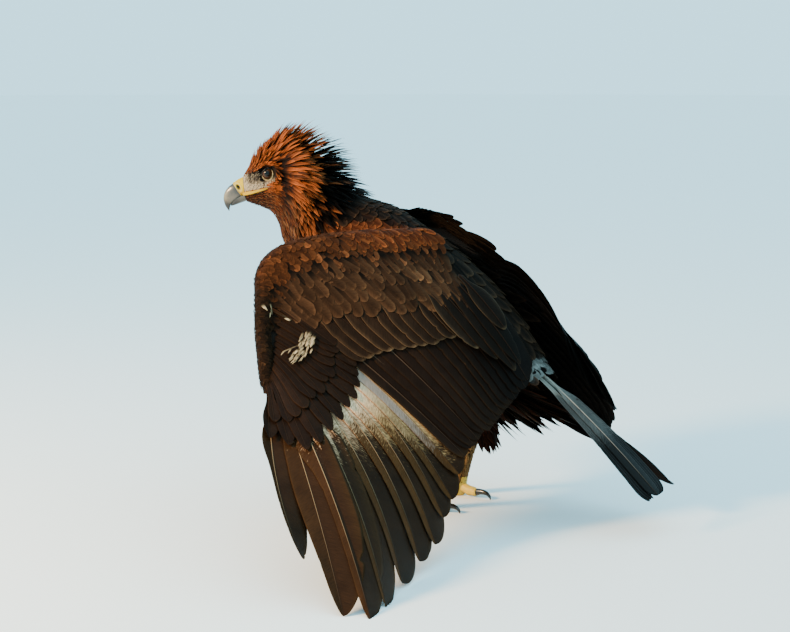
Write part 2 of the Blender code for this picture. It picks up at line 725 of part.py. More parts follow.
right_primaries = feather_row(
    right_hand_sheet, np.arange(10), 0.03, [1.0], [20, 24, 20], [12, 9], primary_shape,
    free=0.14, columns=2, tilt=0.7,
)
right_pieces = [right_arm] + right_remiges + right_coverts
fuse(right_pieces, "wing_right_arm", quill, wing_cuts, "MANIFOLD")
fuse([right_hand] + right_primaries, "wing_right_hand", quill, wing_cuts, "MANIFOLD")

# The tail is closed: feathers numbered from -3 at the bird's left to 3 at its right, the middle one
# on top and each side's stepping down outwards.
tail_sheet = Sheet(
    [-3, 3],
    [(14, 179, 237), (-8, 179, 237)],
    [-3, 3],
    [(38, 396, 56), (-16, 396, 56)],
    ([-3, 3], [6, 6]),
    (0, 0.64, 0.77),
    ([-3, 3], [0, 0]),
    (0, 0, 1),
)
s, t = np.meshgrid(np.linspace(-5.4, 5.4, 8), np.linspace(-0.1, 0.16, 4), indexing="ij")
rump = slab("tail_form", tail_sheet.at(s, t), [14, 13, 10, 6], [12, 11, 8, 5], tail_sheet.normal(s, t))
tail_shape = ((0, 0.4), (0.2, 0.6), (0.5, 0.85), (0.8, 1.0), (0.95, 0.85), (1.0, 0.4))
rectrices = [vane(tail_sheet, 0, 0.02, 1.0, 24, 24, 4.6, 0.16, tail_shape, 3, 0.0)]
for s in (1, 2, 3):
    near, far = 7 * s, 24
    rectrices.append(vane(tail_sheet, s, 0.02, 1.0, near, far, 0, 0.16, tail_shape, 2, 0.8))
    rectrices.append(vane(tail_sheet, -s, 0.02, 1.0, far, near, 0, 0.16, tail_shape, 2, -0.8))
fuse([rump] + rectrices, "tail", tail_vane, [torso_cutter], "MANIFOLD")

# Each leg: a thigh in its trousers, a feathered shank, a foot of four toes and their claws.
shank_form = [((62, 45, 100), 14.5, 13.5), ((62, 33, 66), 13, 12.5), ((62, 24, 36), 13.5, 13)]
toe_form = ((0, 14, 8.5), (0.3, 13, 8.5), (0.55, 10, 8.2), (0.8, 9.5, 8.0), (1.0, 9.0, 6.8))
for side, word in ((1, "left"), (-1, "right")):
    hip = np.array([side, 1, 1])
    rings = thigh_rings(side)
    thigh_end = rings[-1]
    fuse([loft("thigh_form", rings)], "thigh_" + word, plumage, [torso_cutter])
    rings = [thigh_end + np.array([0, 0, -GAP])]
    for centre, deep, wide in shank_form:
        up = np.array([0, deep, deep * 0.25])
        rings.append(oval(np.array(centre) * hip, up, np.array([wide, 0, 0]), LEG_RING))
    shank_end = rings[-1]
    loft("shank_" + word, rings, eagle, plumage)
    foot_rings = [
        shank_end + np.array([0, -GAP * 0.3, -GAP]),
        oval(np.array([62, 20, 24]) * hip, np.array([0, 15, 2]), np.array([14, 0, 0]), LEG_RING),
        oval(np.array([62, 17, 10]) * hip, np.array([0, 16, 0]), np.array([15, 0, 0]), LEG_RING),
        oval(np.array([62, 17, 0]) * hip, np.array([0, 12, 0]), np.array([11, 0, 0]), LEG_RING),
    ]
    pieces = [loft("foot_form", foot_rings)]
    for toe, turn in TOE_TURNS.items():
        angle = math.radians(turn) * side
        ahead = np.array([-math.sin(angle), -math.cos(angle), 0])
        aside = np.array([ahead[1], -ahead[0], 0])
        start = np.array([62 * side, 18, 0]) + ahead * 6
        length = TOE_LENGTHS[toe]
        rings = []
        for part, rise, wide in toe_form:
            centre = start + ahead * length * part + np.array([0, 0, rise])
            ring = oval(centre, np.array([0, 0, wide * 1.05]), aside * wide, 10)
            ring[:, 2] = np.maximum(ring[:, 2], 0 if part < 1 else 1.5)
            rings.append(ring)
        pieces.append(loft("toe", rings))
        claw = []
        length = TALON_LENGTHS[toe]
        base = start + ahead * (TOE_LENGTHS[toe] + GAP)
        for part in (0, 0.25, 0.5, 0.75, 1.0):
            turned = math.radians(CLAW_CURVE * part)
            centre = base + ahead * length * 0.58 * math.sin(turned * 0.86)
            centre = centre + np.array([0, 0, 9.6 + 2.2 * math.sin(turned * 2) - 8.4 * part * part])
            size = 5.2 * (1 - part) ** 0.7 + 0.3
            over = np.array([0, 0, 1.0]) * math.cos(turned * 0.7) + ahead * math.sin(turned * 0.7)
            claw.append(oval(centre, over * size * 1.1, aside * size, 8))
        loft("talon_%s_%s" % (word, toe), claw, eagle, claw_horn)
    fuse(pieces, "foot_" + word, plumage)

# Everything moves together so that the bottom centre of the bird's box is the origin.
low, high = np.full(3, np.inf), np.full(3, -np.inf)
for obj in eagle.objects:
    points = np.empty(len(obj.data.vertices) * 3)
    obj.data.vertices.foreach_get("co", points)
    points = points.reshape(-1, 3)
    low, high = np.minimum(low, points.min(axis=0)), np.maximum(high, points.max(axis=0))
    obj.data.polygons.foreach_set("use_smooth", [True] * len(obj.data.polygons))
    obj.data.set_sharp_from_angle(angle=SMOOTH_BELOW)
shift = -np.array([(low[0] + high[0]) / 2, (low[1] + high[1]) / 2, low[2]])
for obj in eagle.objects:
    obj.location = shift
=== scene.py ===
# A golden eagle at life size: skin, bill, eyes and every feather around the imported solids.
# Shapes are worked out in millimetres in the bird's own directions, with the bird facing -Y and its
# left at +X, and are moved to the frame's place when a mesh is made.
import math

import bmesh
import bpy
import numpy as np
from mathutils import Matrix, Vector


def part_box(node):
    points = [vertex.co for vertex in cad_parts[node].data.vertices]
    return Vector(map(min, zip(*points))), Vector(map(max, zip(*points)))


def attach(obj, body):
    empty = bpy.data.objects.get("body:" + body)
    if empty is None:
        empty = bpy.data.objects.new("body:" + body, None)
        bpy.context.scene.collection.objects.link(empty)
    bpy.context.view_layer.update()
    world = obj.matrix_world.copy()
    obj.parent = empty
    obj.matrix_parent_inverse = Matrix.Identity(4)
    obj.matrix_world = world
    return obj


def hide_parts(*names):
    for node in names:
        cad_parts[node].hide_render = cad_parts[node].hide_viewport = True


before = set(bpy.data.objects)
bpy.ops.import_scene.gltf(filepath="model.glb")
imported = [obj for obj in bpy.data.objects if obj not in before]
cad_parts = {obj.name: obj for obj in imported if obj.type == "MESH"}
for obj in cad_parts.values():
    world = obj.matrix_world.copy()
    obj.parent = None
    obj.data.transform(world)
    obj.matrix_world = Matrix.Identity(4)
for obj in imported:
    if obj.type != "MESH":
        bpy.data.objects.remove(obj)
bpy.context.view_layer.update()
rng = np.random.default_rng(11)


# Small helpers

def linear(hexColour):
    # sRGB hex colour as linear RGB
    value = np.array([int(hexColour[i:i + 2], 16) for i in (1, 3, 5)]) / 255
    return np.where(value <= 0.04045, value / 12.92, ((value + 0.055) / 1.055) ** 2.4)


def coloured(look):
    # The same dictionary with its hex colours made linear
    return {key: linear(value) if isinstance(value, str) else value for key, value in look.items()}


def circle(count):
    # So many angles in even steps, once around
    return np.linspace(0, 2 * math.pi, count, endpoint=False)


def unit(vectors):
    # Each vector over its own length
    return vectors / np.maximum(np.linalg.norm(vectors, axis=-1, keepdims=True), 1e-9)


def smooth(value, low, high):
    # 0 at low and before it, 1 at high and beyond, and p * p * (3 - 2 * p) at a share p of the way between
    part = np.clip((np.asarray(value, float) - low) / (high - low), 0, 1)
    return part * part * (3 - 2 * part)


def mix(first, second, part):
    # first * (1 - part) + second * part
    part = np.asarray(part, float)[..., None]
    return np.asarray(first) * (1 - part) + np.asarray(second) * part


def keyed(keys, points, at):
    # The smooth curve that passes each point at its key, straight on past both ends
    keys, points, at = np.asarray(keys, float), np.asarray(points, float), np.asarray(at, float)
    place = np.interp(at, keys, np.arange(len(keys)))
    before = (np.minimum(at - keys[0], 0) / (keys[1] - keys[0]))[..., None] * (points[1] - points[0])
    after = (np.maximum(at - keys[-1], 0) / (keys[-1] - keys[-2]))[..., None] * (points[-1] - points[-2])
    first = np.clip(np.floor(place).astype(int), 0, len(keys) - 2)
    part = place - first
    ends = np.concatenate([2 * points[:1] - points[1:2], points, 2 * points[-1:] - points[-2:-1]])
    if points.ndim == 3:  # one curve for each place asked for
        each = np.arange(len(at))
        a, b, c, d = (ends[first + step, each] for step in range(4))
    else:
        a, b, c, d = (ends[first + step] for step in range(4))
    part = part[..., None]
    bend = 2 * a - 5 * b + 4 * c - d
    twist = 3 * b - 3 * c + d - a
    return 0.5 * (2 * b + (c - a) * part + bend * part**2 + twist * part**3) + before + after


# The head's own directions: forward along the bill, up, and to the bird's left

head = {"place": (45.0, -278.0, 524.0), "yaw": 30.0, "pitch": 12.0, "eyeOut": 19.5, "eyeRadius": 10.5}
yaw, pitch = math.radians(head["yaw"]), math.radians(head["pitch"])
level = np.array([math.sin(yaw), -math.cos(yaw), 0])
headLeft = np.array([math.cos(yaw), math.sin(yaw), 0])
headForward = level * math.cos(pitch) - np.array([0, 0, math.sin(pitch)])
headUp = level * math.sin(pitch) + np.array([0, 0, math.cos(pitch)])
headPlace = np.array(head["place"])
headAxes = np.array([headForward, headUp, headLeft])

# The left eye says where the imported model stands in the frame
eyeLow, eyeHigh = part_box("eye_left")
shift = np.array((eyeLow + eyeHigh) / 2) * 1000 - (headPlace + headLeft * head["eyeOut"])


def inHead(forward, up, left=0.0):
    # Points at these distances from the head's place, in the bird's directions
    forward, up, left = np.broadcast_arrays(*(np.asarray(x, float) for x in (forward, up, left)))
    return headPlace + np.stack([forward, up, left], -1) @ headAxes


def headCoordinates(points):
    # The way back: how far points lie forward, up and to the left of the head's place
    return (points - headPlace) @ headAxes.T


def toFrame(points):
    # From the bird's millimetres to the frame's metres
    return (np.asarray(points, float) + shift) / 1000


# Meshes

def newMesh(name, points, faces, tones, maps=None, weld=0.0):
    # An object from points in millimetres and quads, with colours at its points and maps by name. Colours
    # of seven numbers hold a dark tone, a pale tone and how far the pale one has its place.
    mesh = bpy.data.meshes.new(name)
    points = points.reshape(-1, 3)
    points[:, 2] = np.maximum(points[:, 2], 0)
    points = toFrame(points)
    mesh.vertices.add(len(points))
    mesh.vertices.foreach_set("co", points.astype(np.float32).ravel())
    mesh.loops.add(faces.size)
    mesh.loops.foreach_set("vertex_index", faces.astype(np.int32).ravel())
    mesh.polygons.add(len(faces))
    mesh.polygons.foreach_set("loop_start", np.arange(0, faces.size, faces.shape[1], dtype=np.int32))
    mesh.update(calc_edges=True)
    for mapName, values in (maps or {}).items():
        layer = mesh.uv_layers.new(name=mapName)
        layer.data.foreach_set("uv", values.reshape(-1, 2)[faces.ravel()].astype(np.float32).ravel())
    tones = tones.reshape(len(points), -1).astype(np.float32)
    colours = np.ones((len(points), 4), np.float32)
    colours[:, :3] = tones[:, :3]
    mesh.attributes.new("tone", "FLOAT_COLOR", "POINT").data.foreach_set("color", colours.ravel())
    if tones.shape[1] > 3:
        light = mesh.attributes.new("light", "FLOAT_COLOR", "POINT")
        light.data.foreach_set("color", tones[:, 3:].ravel())
    if weld:
        shape = bmesh.new()
        shape.from_mesh(mesh)
        bmesh.ops.remove_doubles(shape, verts=shape.verts, dist=weld / 1000)
        bmesh.ops.dissolve_degenerate(shape, edges=shape.edges, dist=weld / 2000)
        bmesh.ops.recalc_face_normals(shape, faces=shape.faces)
        shape.to_mesh(mesh)
        shape.free()
    mesh.polygons.foreach_set("use_smooth", np.ones(len(mesh.polygons), bool))
    obj = bpy.data.objects.new(name, mesh)
    bpy.context.scene.collection.objects.link(obj)
    return obj


def gridFaces(count, rows, columns, ring=False):
    # Quads of so many grids of rows and columns, one after the other; a ring joins its last column to its
    # first
    across = np.arange(columns if ring else columns - 1)
    row = np.arange(rows - 1)[:, None] * columns
    a, b = row + across, row + (across + 1) % columns
    quads = np.stack([a, b, b + columns, a + columns], -1).reshape(-1, 4)
    return (quads[None] + (np.arange(count) * rows * columns)[:, None, None]).reshape(-1, 4)


def loftPiece(name, rings, tones):
    # A closed surface through rings (levels, around, 3), each end drawn in to its middle
    middleFirst = np.repeat(rings[:1].mean(axis=1, keepdims=True), rings.shape[1], axis=1)
    middleLast = np.repeat(rings[-1:].mean(axis=1, keepdims=True), rings.shape[1], axis=1)
    points = np.concatenate([middleFirst, rings, middleLast])
    tones = np.concatenate([tones[:1], tones, tones[-1:]])
    return newMesh(name, points, gridFaces(1, len(points), rings.shape[1], True), tones, None, 0.02)


def place(piece, material, slot, *nodes):
    # Gives a piece its material and body, and hides the solids that it stands for. The slot is not used.
    piece.data.materials.append(material)
    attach(piece, "root")
    if nodes:
        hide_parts(*nodes)


# Materials

def newMaterial(name, inputs):
    # A material with its node tree and its main shader, whose inputs are set by name
    material = bpy.data.materials.new(name)
    material.use_nodes = True
    shader = material.node_tree.nodes["Principled BSDF"]
    for key, value in inputs.items():
        shader.inputs[key].default_value = value
    return material, material.node_tree, shader


def addNode(tree, kind, settings=None, links=None):
    # A node with its settings, by attribute or socket name, and the sockets that feed it
    node = tree.nodes.new(kind)
    for key, value in (settings or {}).items():
        if isinstance(key, str) and hasattr(node, key) and key not in node.inputs:
            setattr(node, key, value)
        else:
            node.inputs[key].default_value = value
    for key, source in (links or {}).items():
        tree.links.new(source, node.inputs[key])
    return node


def shadeByNoise(tree, shader, colour, noise, low, high, bump, depth):
    # The base colour is the colour times a noise spread from low to high. The same noise makes the bumps.
    spread = addNode(tree, "ShaderNodeMapRange",
                     {"From Min": 0.3, "From Max": 0.7, "To Min": low, "To Max": high}, {"Value": noise})
    shade = addNode(tree, "ShaderNodeVectorMath", {"operation": "SCALE"},
                    {0: colour, "Scale": spread.outputs["Result"]})
    tree.links.new(shade.outputs["Vector"], shader.inputs["Base Color"])
    lump = addNode(tree, "ShaderNodeBump", {"Strength": bump, "Distance": depth}, {"Height": noise})
    tree.links.new(lump.outputs["Normal"], shader.inputs["Normal"])


def featherMaterial(name, streak, roughness, sheen, bump, mottled=False):
    # Feather vane: keratin barbs lying side by side, which give fine slanted streaks and a soft sheen.
    # Real barbs lie 0.5 mm apart; they are drawn about 2 mm apart, or they would not show.
    material, tree, shader = newMaterial(name, {
        "Roughness": roughness, "Specular IOR Level": 0.03, "Sheen Weight": sheen, "Sheen Roughness": 0.4,
        "Sheen Tint": (*linear("#d9b28c"), 1)})
    tone = addNode(tree, "ShaderNodeAttribute", {"attribute_name": "tone"})
    barbs = addNode(tree, "ShaderNodeUVMap", {"uv_map": "barbs"})
    stretched = addNode(tree, "ShaderNodeMapping", {"Scale": (0.8, 7.0, 1.0)},
                        {"Vector": barbs.outputs["UV"]})
    noise = addNode(tree, "ShaderNodeTexNoise", {"Scale": 1.0, "Detail": 3.0, "Roughness": 0.65},
                    {"Vector": stretched.outputs["Vector"]})
    colour = tone.outputs["Color"]
    if mottled:
        light = addNode(tree, "ShaderNodeAttribute", {"attribute_name": "light"})
        spots = addNode(tree, "ShaderNodeMapping", {"Scale": (1.5, 3.6, 1.0)},
                        {"Vector": barbs.outputs["UV"]})
        grain = addNode(tree, "ShaderNodeTexNoise", {"Scale": 1.0, "Detail": 4.0, "Roughness": 0.7},
                        {"Vector": spots.outputs["Vector"]})
        total = addNode(tree, "ShaderNodeMath", {"operation": "MULTIPLY_ADD", 1: 1.6},
                        {0: grain.outputs["Fac"], 2: light.outputs["Alpha"]})
        part = addNode(tree, "ShaderNodeMapRange", {"From Min": 1.1, "From Max": 1.72},
                       {"Value": total.outputs["Value"]})
        blend = addNode(tree, "ShaderNodeMix", {"data_type": "RGBA"},
                        {0: part.outputs["Result"], 6: colour, 7: light.outputs["Color"]})
        colour = blend.outputs[2]
    shadeByNoise(tree, shader, colour, noise.outputs["Fac"], 1 - streak, 1 + streak * 0.8, bump, 0.0006)
    return material


def tonedMaterial(name, roughness, specular, noiseScale, variation, bump, coat=0.0, subsurface=0.0):
    # A smooth horny or fleshy surface that takes its colour from its points, with fine mottling
    material, tree, shader = newMaterial(name, {
        "Roughness": roughness, "Specular IOR Level": specular, "Coat Weight": coat, "Coat Roughness": 0.08,
        "Subsurface Weight": subsurface, "Subsurface Scale": 0.002})
    tone = addNode(tree, "ShaderNodeAttribute", {"attribute_name": "tone"})
    where = addNode(tree, "ShaderNodeTexCoord")
    noise = addNode(tree, "ShaderNodeTexNoise", {"Scale": noiseScale, "Detail": 4.0, "Roughness": 0.6},
                    {"Vector": where.outputs["Object"]})
    fac = noise.outputs["Fac"]
    shadeByNoise(tree, shader, tone.outputs["Color"], fac, 1 - variation, 1 + variation, bump, 0.0004)
    return material


bodyVane = featherMaterial("contour_feather_keratin", 0.34, 0.7, 0.03, 0.6)
hackleVane = featherMaterial("hackle_keratin", 0.22, 0.55, 0.04, 0.4)
flightVane = featherMaterial("flight_feather_keratin", 0.34, 0.5, 0.01, 0.7)
mottledVane = featherMaterial("mottled_feather_keratin", 0.36, 0.52, 0.01, 0.6, True)
shaftHorn = tonedMaterial("feather_shaft_horn", 0.6, 0.04, 300, 0.1, 0.1)
billHorn = tonedMaterial("bill_horn", 0.3, 0.5, 260, 0.12, 0.15, coat=0.15)
cereSkin = tonedMaterial("cere_wax_skin", 0.5, 0.2, 700, 0.14, 0.25, subsurface=0.08)
eyeGloss = tonedMaterial("eye_cornea", 0.04, 0.22, 900, 0.18, 0.0)
clawHorn = tonedMaterial("claw_horn", 0.25, 0.5, 300, 0.15, 0.1, coat=0.2)
toeSkin = tonedMaterial("toe_scute_skin", 0.5, 0.4, 500, 0.12, 0.4, subsurface=0.1)
downSkin = tonedMaterial("down_over_skin", 0.9, 0.15, 400, 0.25, 0.6)


# Feathers

class Rows:
    # A growing set of feathers of one piece: grids of points, colours and maps, all of one size

    def __init__(self, rows, columns):
        self.rows = rows
        self.columns = columns
        self.points, self.tones, self.barbs, self.bakes = [], [], [], []

    def add(self, centre, up, inner, outer, tones, bakeAt, cup, slant, sides=None):
        # Blades about centre lines (count, rows, 3). Each point lies so far across its line and drops from it
        # by the square of that. Slant leans the barbs of the map forward; sides are the ways to both edges.
        count = len(centre)
        along = unit(np.gradient(centre, axis=1))
        side = unit(np.cross(along, up))
        over = np.cross(side, along)
        w = self.columns
        half = np.where(w < 0, inner[..., None], outer[..., None])
        x = w * half
        widest = np.maximum(half.max(axis=(1, 2), keepdims=True), 1e-6)
        drop = -cup * x * x / widest
        points = centre[:, :, None] + over[:, :, None] * drop[..., None]
        if sides is None:
            points = points + side[:, :, None] * x[..., None]
        else:
            low, high = np.minimum(x, 0)[..., None], np.maximum(x, 0)[..., None]
            points = points - sides[0][:, :, None] * low + sides[1][:, :, None] * high
        length = np.linalg.norm(np.diff(centre, axis=1), axis=2).sum(axis=1)
        t = self.rows
        mark = rng.uniform(0, 40, (count, 1, 1))
        height = t[None, :, None] * length[:, None, None] - slant * np.abs(x)
        barbs = np.stack(np.broadcast_arrays(x / 10 + mark, height / 10 + mark), -1)
        patch = np.stack(np.broadcast_arrays(w[None, None, :] / 2 + 0.5, t[None, :, None]), -1) * 0.003
        bake = 0.01 + 0.975 * np.clip(bakeAt, 0, 1)[:, None, None, :] + patch
        self.points.append(points)
        self.tones.append(np.broadcast_to(tones, (*points.shape[:3], tones.shape[-1])))
        self.barbs.append(barbs)
        self.bakes.append(np.broadcast_to(bake, barbs.shape))

    def count(self):
        return sum(len(points) for points in self.points)

    def piece(self, name):
        # One object of blades that are single sheets
        faces = gridFaces(self.count(), len(self.rows), len(self.columns))
        maps = {"barbs": np.concatenate(self.barbs), "OFBake": np.concatenate(self.bakes)}
        return newMesh(name, np.concatenate(self.points), faces, np.concatenate(self.tones), maps)

    def solidPiece(self, name, thickness):
        # One object of closed blades, thickest along the shaft, with a strip of the map for each
        top = np.concatenate(self.points)
        across = np.gradient(top, axis=2)
        along = np.gradient(top, axis=1)
        normal = unit(np.cross(across, along))
        body = thickness * (1 - self.columns**2) ** 0.5 * np.minimum(1, 8 * (1 - self.rows))[:, None]
        bottom = (top - normal * body[None, :, :, None])[:, :, -2:0:-1]
        ring = np.concatenate([top, bottom], axis=2)
        ring[:, 0] = ring[:, 0].mean(axis=1, keepdims=True)
        ring[:, -1] = ring[:, -1].mean(axis=1, keepdims=True)
        tones = np.concatenate(self.tones)
        tones = np.concatenate([tones, tones[:, :, -2:0:-1]], axis=2)
        barbs = np.concatenate(self.barbs)
        barbs = np.concatenate([barbs, barbs[:, :, -2:0:-1]], axis=2)
        count = len(top)
        w = self.columns / 2 + 0.5
        strip = np.concatenate([w, 1 + (1 - w[-2:0:-1])]) / 2 * 0.94
        bake = np.stack(np.broadcast_arrays(
            (np.arange(count)[:, None, None] + 0.03 + strip[None, None, :]) / count,
            0.01 + 0.98 * self.rows[None, :, None]), -1)
        maps = {"barbs": barbs, "OFBake": bake}
        faces = gridFaces(count, len(self.rows), ring.shape[2], True)
        return newMesh(name, ring, faces, tones, maps, 0.004)


def rowPlaces(count, power):
    # Places along a blade, closer together towards the tip: 1 - (1 - x) ** power for x in even steps
    return 1 - (1 - np.linspace(0, 1, count)) ** power


def roundBlade(t, base, widest, point):
    # Half width: a sine rise from the base to the widest place, then an oval end
    rise = base + (1 - base) * np.sin(math.pi / 2 * np.clip(t / widest, 0, 1))
    end = np.clip((t - widest) / (1 - widest), 0, 1)
    return rise * np.sqrt(np.clip(1 - end**point, 0, 1))


def lanceBlade(t, base, widest, point):
    # Half width: a quick rise and a long taper to a point
    rise = base + (1 - base) * np.sin(math.pi / 2 * np.clip(t / widest, 0, 1))
    end = np.clip((t - widest) / (1 - widest), 0, 1)
    return rise * (1 - end**point)


def tangents(surface, u, v):
    # How a surface runs along u and along v, and its normal on the outward side
    step = 1e-3
    across = (surface.at(u + step, v) - surface.at(u - step, v)) / (2 * step)
    down = (surface.at(u, v + step) - surface.at(u, v - step)) / (2 * step)
    normal = unit(np.cross(across, down))
    facing = np.sum(normal * surface.outward(u, v), axis=-1, keepdims=True)
    return across, down, normal * np.where(facing < 0, -1, 1)


def laid(surface, u, v, length, heading, low, high, rows, rise):
    # Centre lines that follow a surface from their roots, at heights from low to high over it: the lines
    # (count, rows, 3) and the surface's normals along them. Each step turns the last way into the surface.
    way, lines, ups = None, [], []
    for i in range(len(rows)):
        across, down, normal = tangents(surface, u, v)
        if way is None:
            along = unit(down)
            way = along * np.cos(heading)[:, None] + np.cross(along, normal) * np.sin(heading)[:, None]
        way = unit(way - normal * np.sum(way * normal, axis=1, keepdims=True))
        lines.append(surface.at(u, v))
        ups.append(normal)
        aa, ad, dd = (np.sum(p * q, axis=1) for p, q in ((across, across), (across, down), (down, down)))
        wa, wd = np.sum(way * across, axis=1), np.sum(way * down, axis=1)
        gap = (rows[min(i + 1, len(rows) - 1)] - rows[i]) * length / np.maximum(aa * dd - ad * ad, 1e-6)
        u, v = u + (wa * dd - wd * ad) * gap, v + (wd * aa - wa * ad) * gap
    line, up = np.stack(lines, axis=1), np.stack(ups, axis=1)
    height = low[:, None] + (high - low)[:, None] * rows[None, :] ** rise
    return line + up * height[..., None], up


def raised(surface, u, v, length, lean, stand, bow, rows, sink):
    # Centre lines that leave the surface at an angle and bend back to it. Lean turns them about the
    # surface's normal, stand is the angle of the root from the surface and bow how far that drops.
    _, down, normal = tangents(surface, u, v)
    along = unit(down)
    side = np.cross(along, normal)
    way = along * np.cos(lean)[:, None] + side * np.sin(lean)[:, None]
    angle = stand[:, None] - bow[:, None] * rows[None, :]
    step = way[:, None] * np.cos(angle)[..., None] + normal[:, None] * np.sin(angle)[..., None]
    gaps = np.diff(rows, prepend=0.0)[None, :, None] * length[:, None, None]
    root = surface.at(u, v) - normal * np.broadcast_to(sink, u.shape)[:, None]
    line = root[:, None] + np.cumsum(step * gaps, axis=1)
    up = normal[:, None] * np.cos(angle)[..., None] - way[:, None] * np.sin(angle)[..., None]
    return line, up


def scatter(surface, stations, low, high, spacing, jitter):
    # Roots in staggered rows: a row at each station (a value of v), from low to high in u
    us, vs = [], []
    for i, v in enumerate(stations):
        a, b, gap = (np.interp(i, [0, len(stations) - 1], np.broadcast_to(x, 2))
                     for x in (low, high, spacing))
        u = np.linspace(a, b, 80)
        steps = np.linalg.norm(np.diff(surface.at(u, np.full(len(u), v)), axis=0), axis=1)
        arc = np.concatenate([[0], np.cumsum(steps)])
        count = max(2, int(round(arc[-1] / gap)))
        at = (np.arange(count) + 0.25 + 0.5 * (i % 2)) / count + rng.uniform(-jitter, jitter, count) / count
        pitchV = abs(stations[min(i + 1, len(stations) - 1)] - stations[max(i - 1, 0)]) / 2
        us.append(np.interp(at * arc[-1], arc, u))
        vs.append(v + rng.uniform(-jitter, jitter, count) * pitchV)
    return np.concatenate(us), np.concatenate(vs)


# The forms that carry the coat

class Oval:
    # A form through ovals, each with a top and a bottom point and half a width to the sides

    def __init__(self, tops, bottoms, widths, sideWay):
        self.tops, self.bottoms = np.array(tops, float), np.array(bottoms, float)
        self.widths = np.array(widths, float)[:, None]
        self.sideWay = sideWay
        self.keys = np.arange(len(widths))

    def at(self, u, v):
        # u turns about the form from 0 at its top, and v runs along it, a whole number at each oval
        top, bottom = keyed(self.keys, self.tops, v), keyed(self.keys, self.bottoms, v)
        wide = keyed(self.keys, self.widths, v)
        turn = np.asarray(u, float)[..., None]
        return (top + bottom) / 2 + np.cos(turn) * (top - bottom) / 2 + np.sin(turn) * self.sideWay * wide

    def outward(self, u, v):
        turn = np.asarray(u, float)[..., None]
        top, bottom = keyed(self.keys, self.tops, v), keyed(self.keys, self.bottoms, v)
        return np.cos(turn) * unit(top - bottom) + np.sin(turn) * self.sideWay


# Profile of the head and neck in the head's directions, from the bill's root down to the shoulders
headProfile = [
    ((42, 3), (45, -37), 12.5), ((33, 13), (34, -44), 18.5), ((20, 26), (20, -52.5), 25.5),
    ((4, 35), (10, -60), 30.5), ((-12, 40), (4, -70), 35), ((-30, 40), (0, -84), 38),
    ((-50, 32), (-1, -100), 41), ((-68, 15), (-3, -118), 45), ((-84, -10), (-7, -138), 51),
    ((-98, -40), (-12, -160), 58), ((-110, -64), (-20, -184), 67),
]
headForm = Oval(
    [inHead(*entry[0]) for entry in headProfile], [inHead(*entry[1]) for entry in headProfile],
    [entry[2] for entry in headProfile], headLeft,
)
# The torso as upper and lower points (Y, Z) in its middle plane, with half its width
torsoProfile = [
    ((-116, 484), (-205, 318), 74), ((-64, 469), (-165, 285), 84), ((-8, 436), (-110, 255), 90),
    ((52, 398), (-40, 232), 88), ((105, 352), (35, 215), 78), ((148, 308), (95, 200), 64),
    ((176, 272), (148, 197), 50), ((196, 244), (184, 202), 36),
]
torsoForm = Oval(
    [(2, *entry[0]) for entry in torsoProfile], [(2, *entry[1]) for entry in torsoProfile],
    [entry[2] for entry in torsoProfile], np.array([1.0, 0, 0]),
)


class Sheet:
    # The surface on which a row of long feathers lies: u counts feathers, v runs from root to tip

    def __init__(self, rootKeys, roots, tipKeys, tips, rises, facing, bows=None, bowWay=(0, 0, 0)):
        self.rootKeys, self.roots, self.tipKeys, self.tips = rootKeys, roots, tipKeys, tips
        self.rises, self.facing = rises, unit(np.array(facing, float))
        self.bows, self.bowWay = bows or ([0, 1], [0, 0]), np.array(bowWay, float)

    def at(self, u, v):
        # root + (tip - root) * v, with a rise and a bow that grow and fall as 4 * v * (1 - v)
        u, v = np.broadcast_arrays(np.asarray(u, float), np.asarray(v, float))
        root, tip = keyed(self.rootKeys, self.roots, u), keyed(self.tipKeys, self.tips, u)
        hump = 4 * v * (1 - v)
        rise, bow = np.interp(u, *self.rises) * hump, np.interp(u, *self.bows) * hump
        flat = root + (tip - root) * v[..., None]
        return flat + rise[..., None] * self.facing + bow[..., None] * self.bowWay


class Dorsal:
    # The upper side of a wing: v from 0 at its front edge, 0.4 over the bones and 0.75 at the roots of
    # the flight feathers, to 1 and on along them. It stands over the middle surface by the flesh.

    def __init__(self, sheet, keys, fronts, ridges, thick):
        self.sheet, self.keys, self.fronts, self.ridges, self.thick = sheet, keys, fronts, ridges, thick

    def middle(self, u, v):
        u, v = (x.ravel() for x in np.broadcast_arrays(np.asarray(u, float), np.asarray(v, float)))
        stops = [keyed(self.keys, self.fronts, u), keyed(self.keys, self.ridges, u)]
        stops += [self.sheet.at(u, part) for part in (0.0, 0.2, 0.45, 0.7)]
        return keyed([0, 0.4, 0.75, 1.0, 1.3, 1.6], np.array(stops), v)

    def at(self, u, v):
        shape = np.broadcast(u, v).shape
        step = 2e-3
        across = self.middle(np.asarray(u) + step, v) - self.middle(np.asarray(u) - step, v)
        down = self.middle(u, np.asarray(v) + step) - self.middle(u, np.asarray(v) - step)
        normal = unit(np.cross(across, down))
        normal = normal * np.where(normal @ self.sheet.facing < 0, -1, 1)[:, None]
        deep = np.interp(np.broadcast_to(v, shape).ravel(), *self.thick)
        return (self.middle(u, v) + normal * deep[:, None]).reshape(*shape, 3)

    def outward(self, u, v):
        return np.broadcast_to(self.sheet.facing, (*np.shape(u), 3))


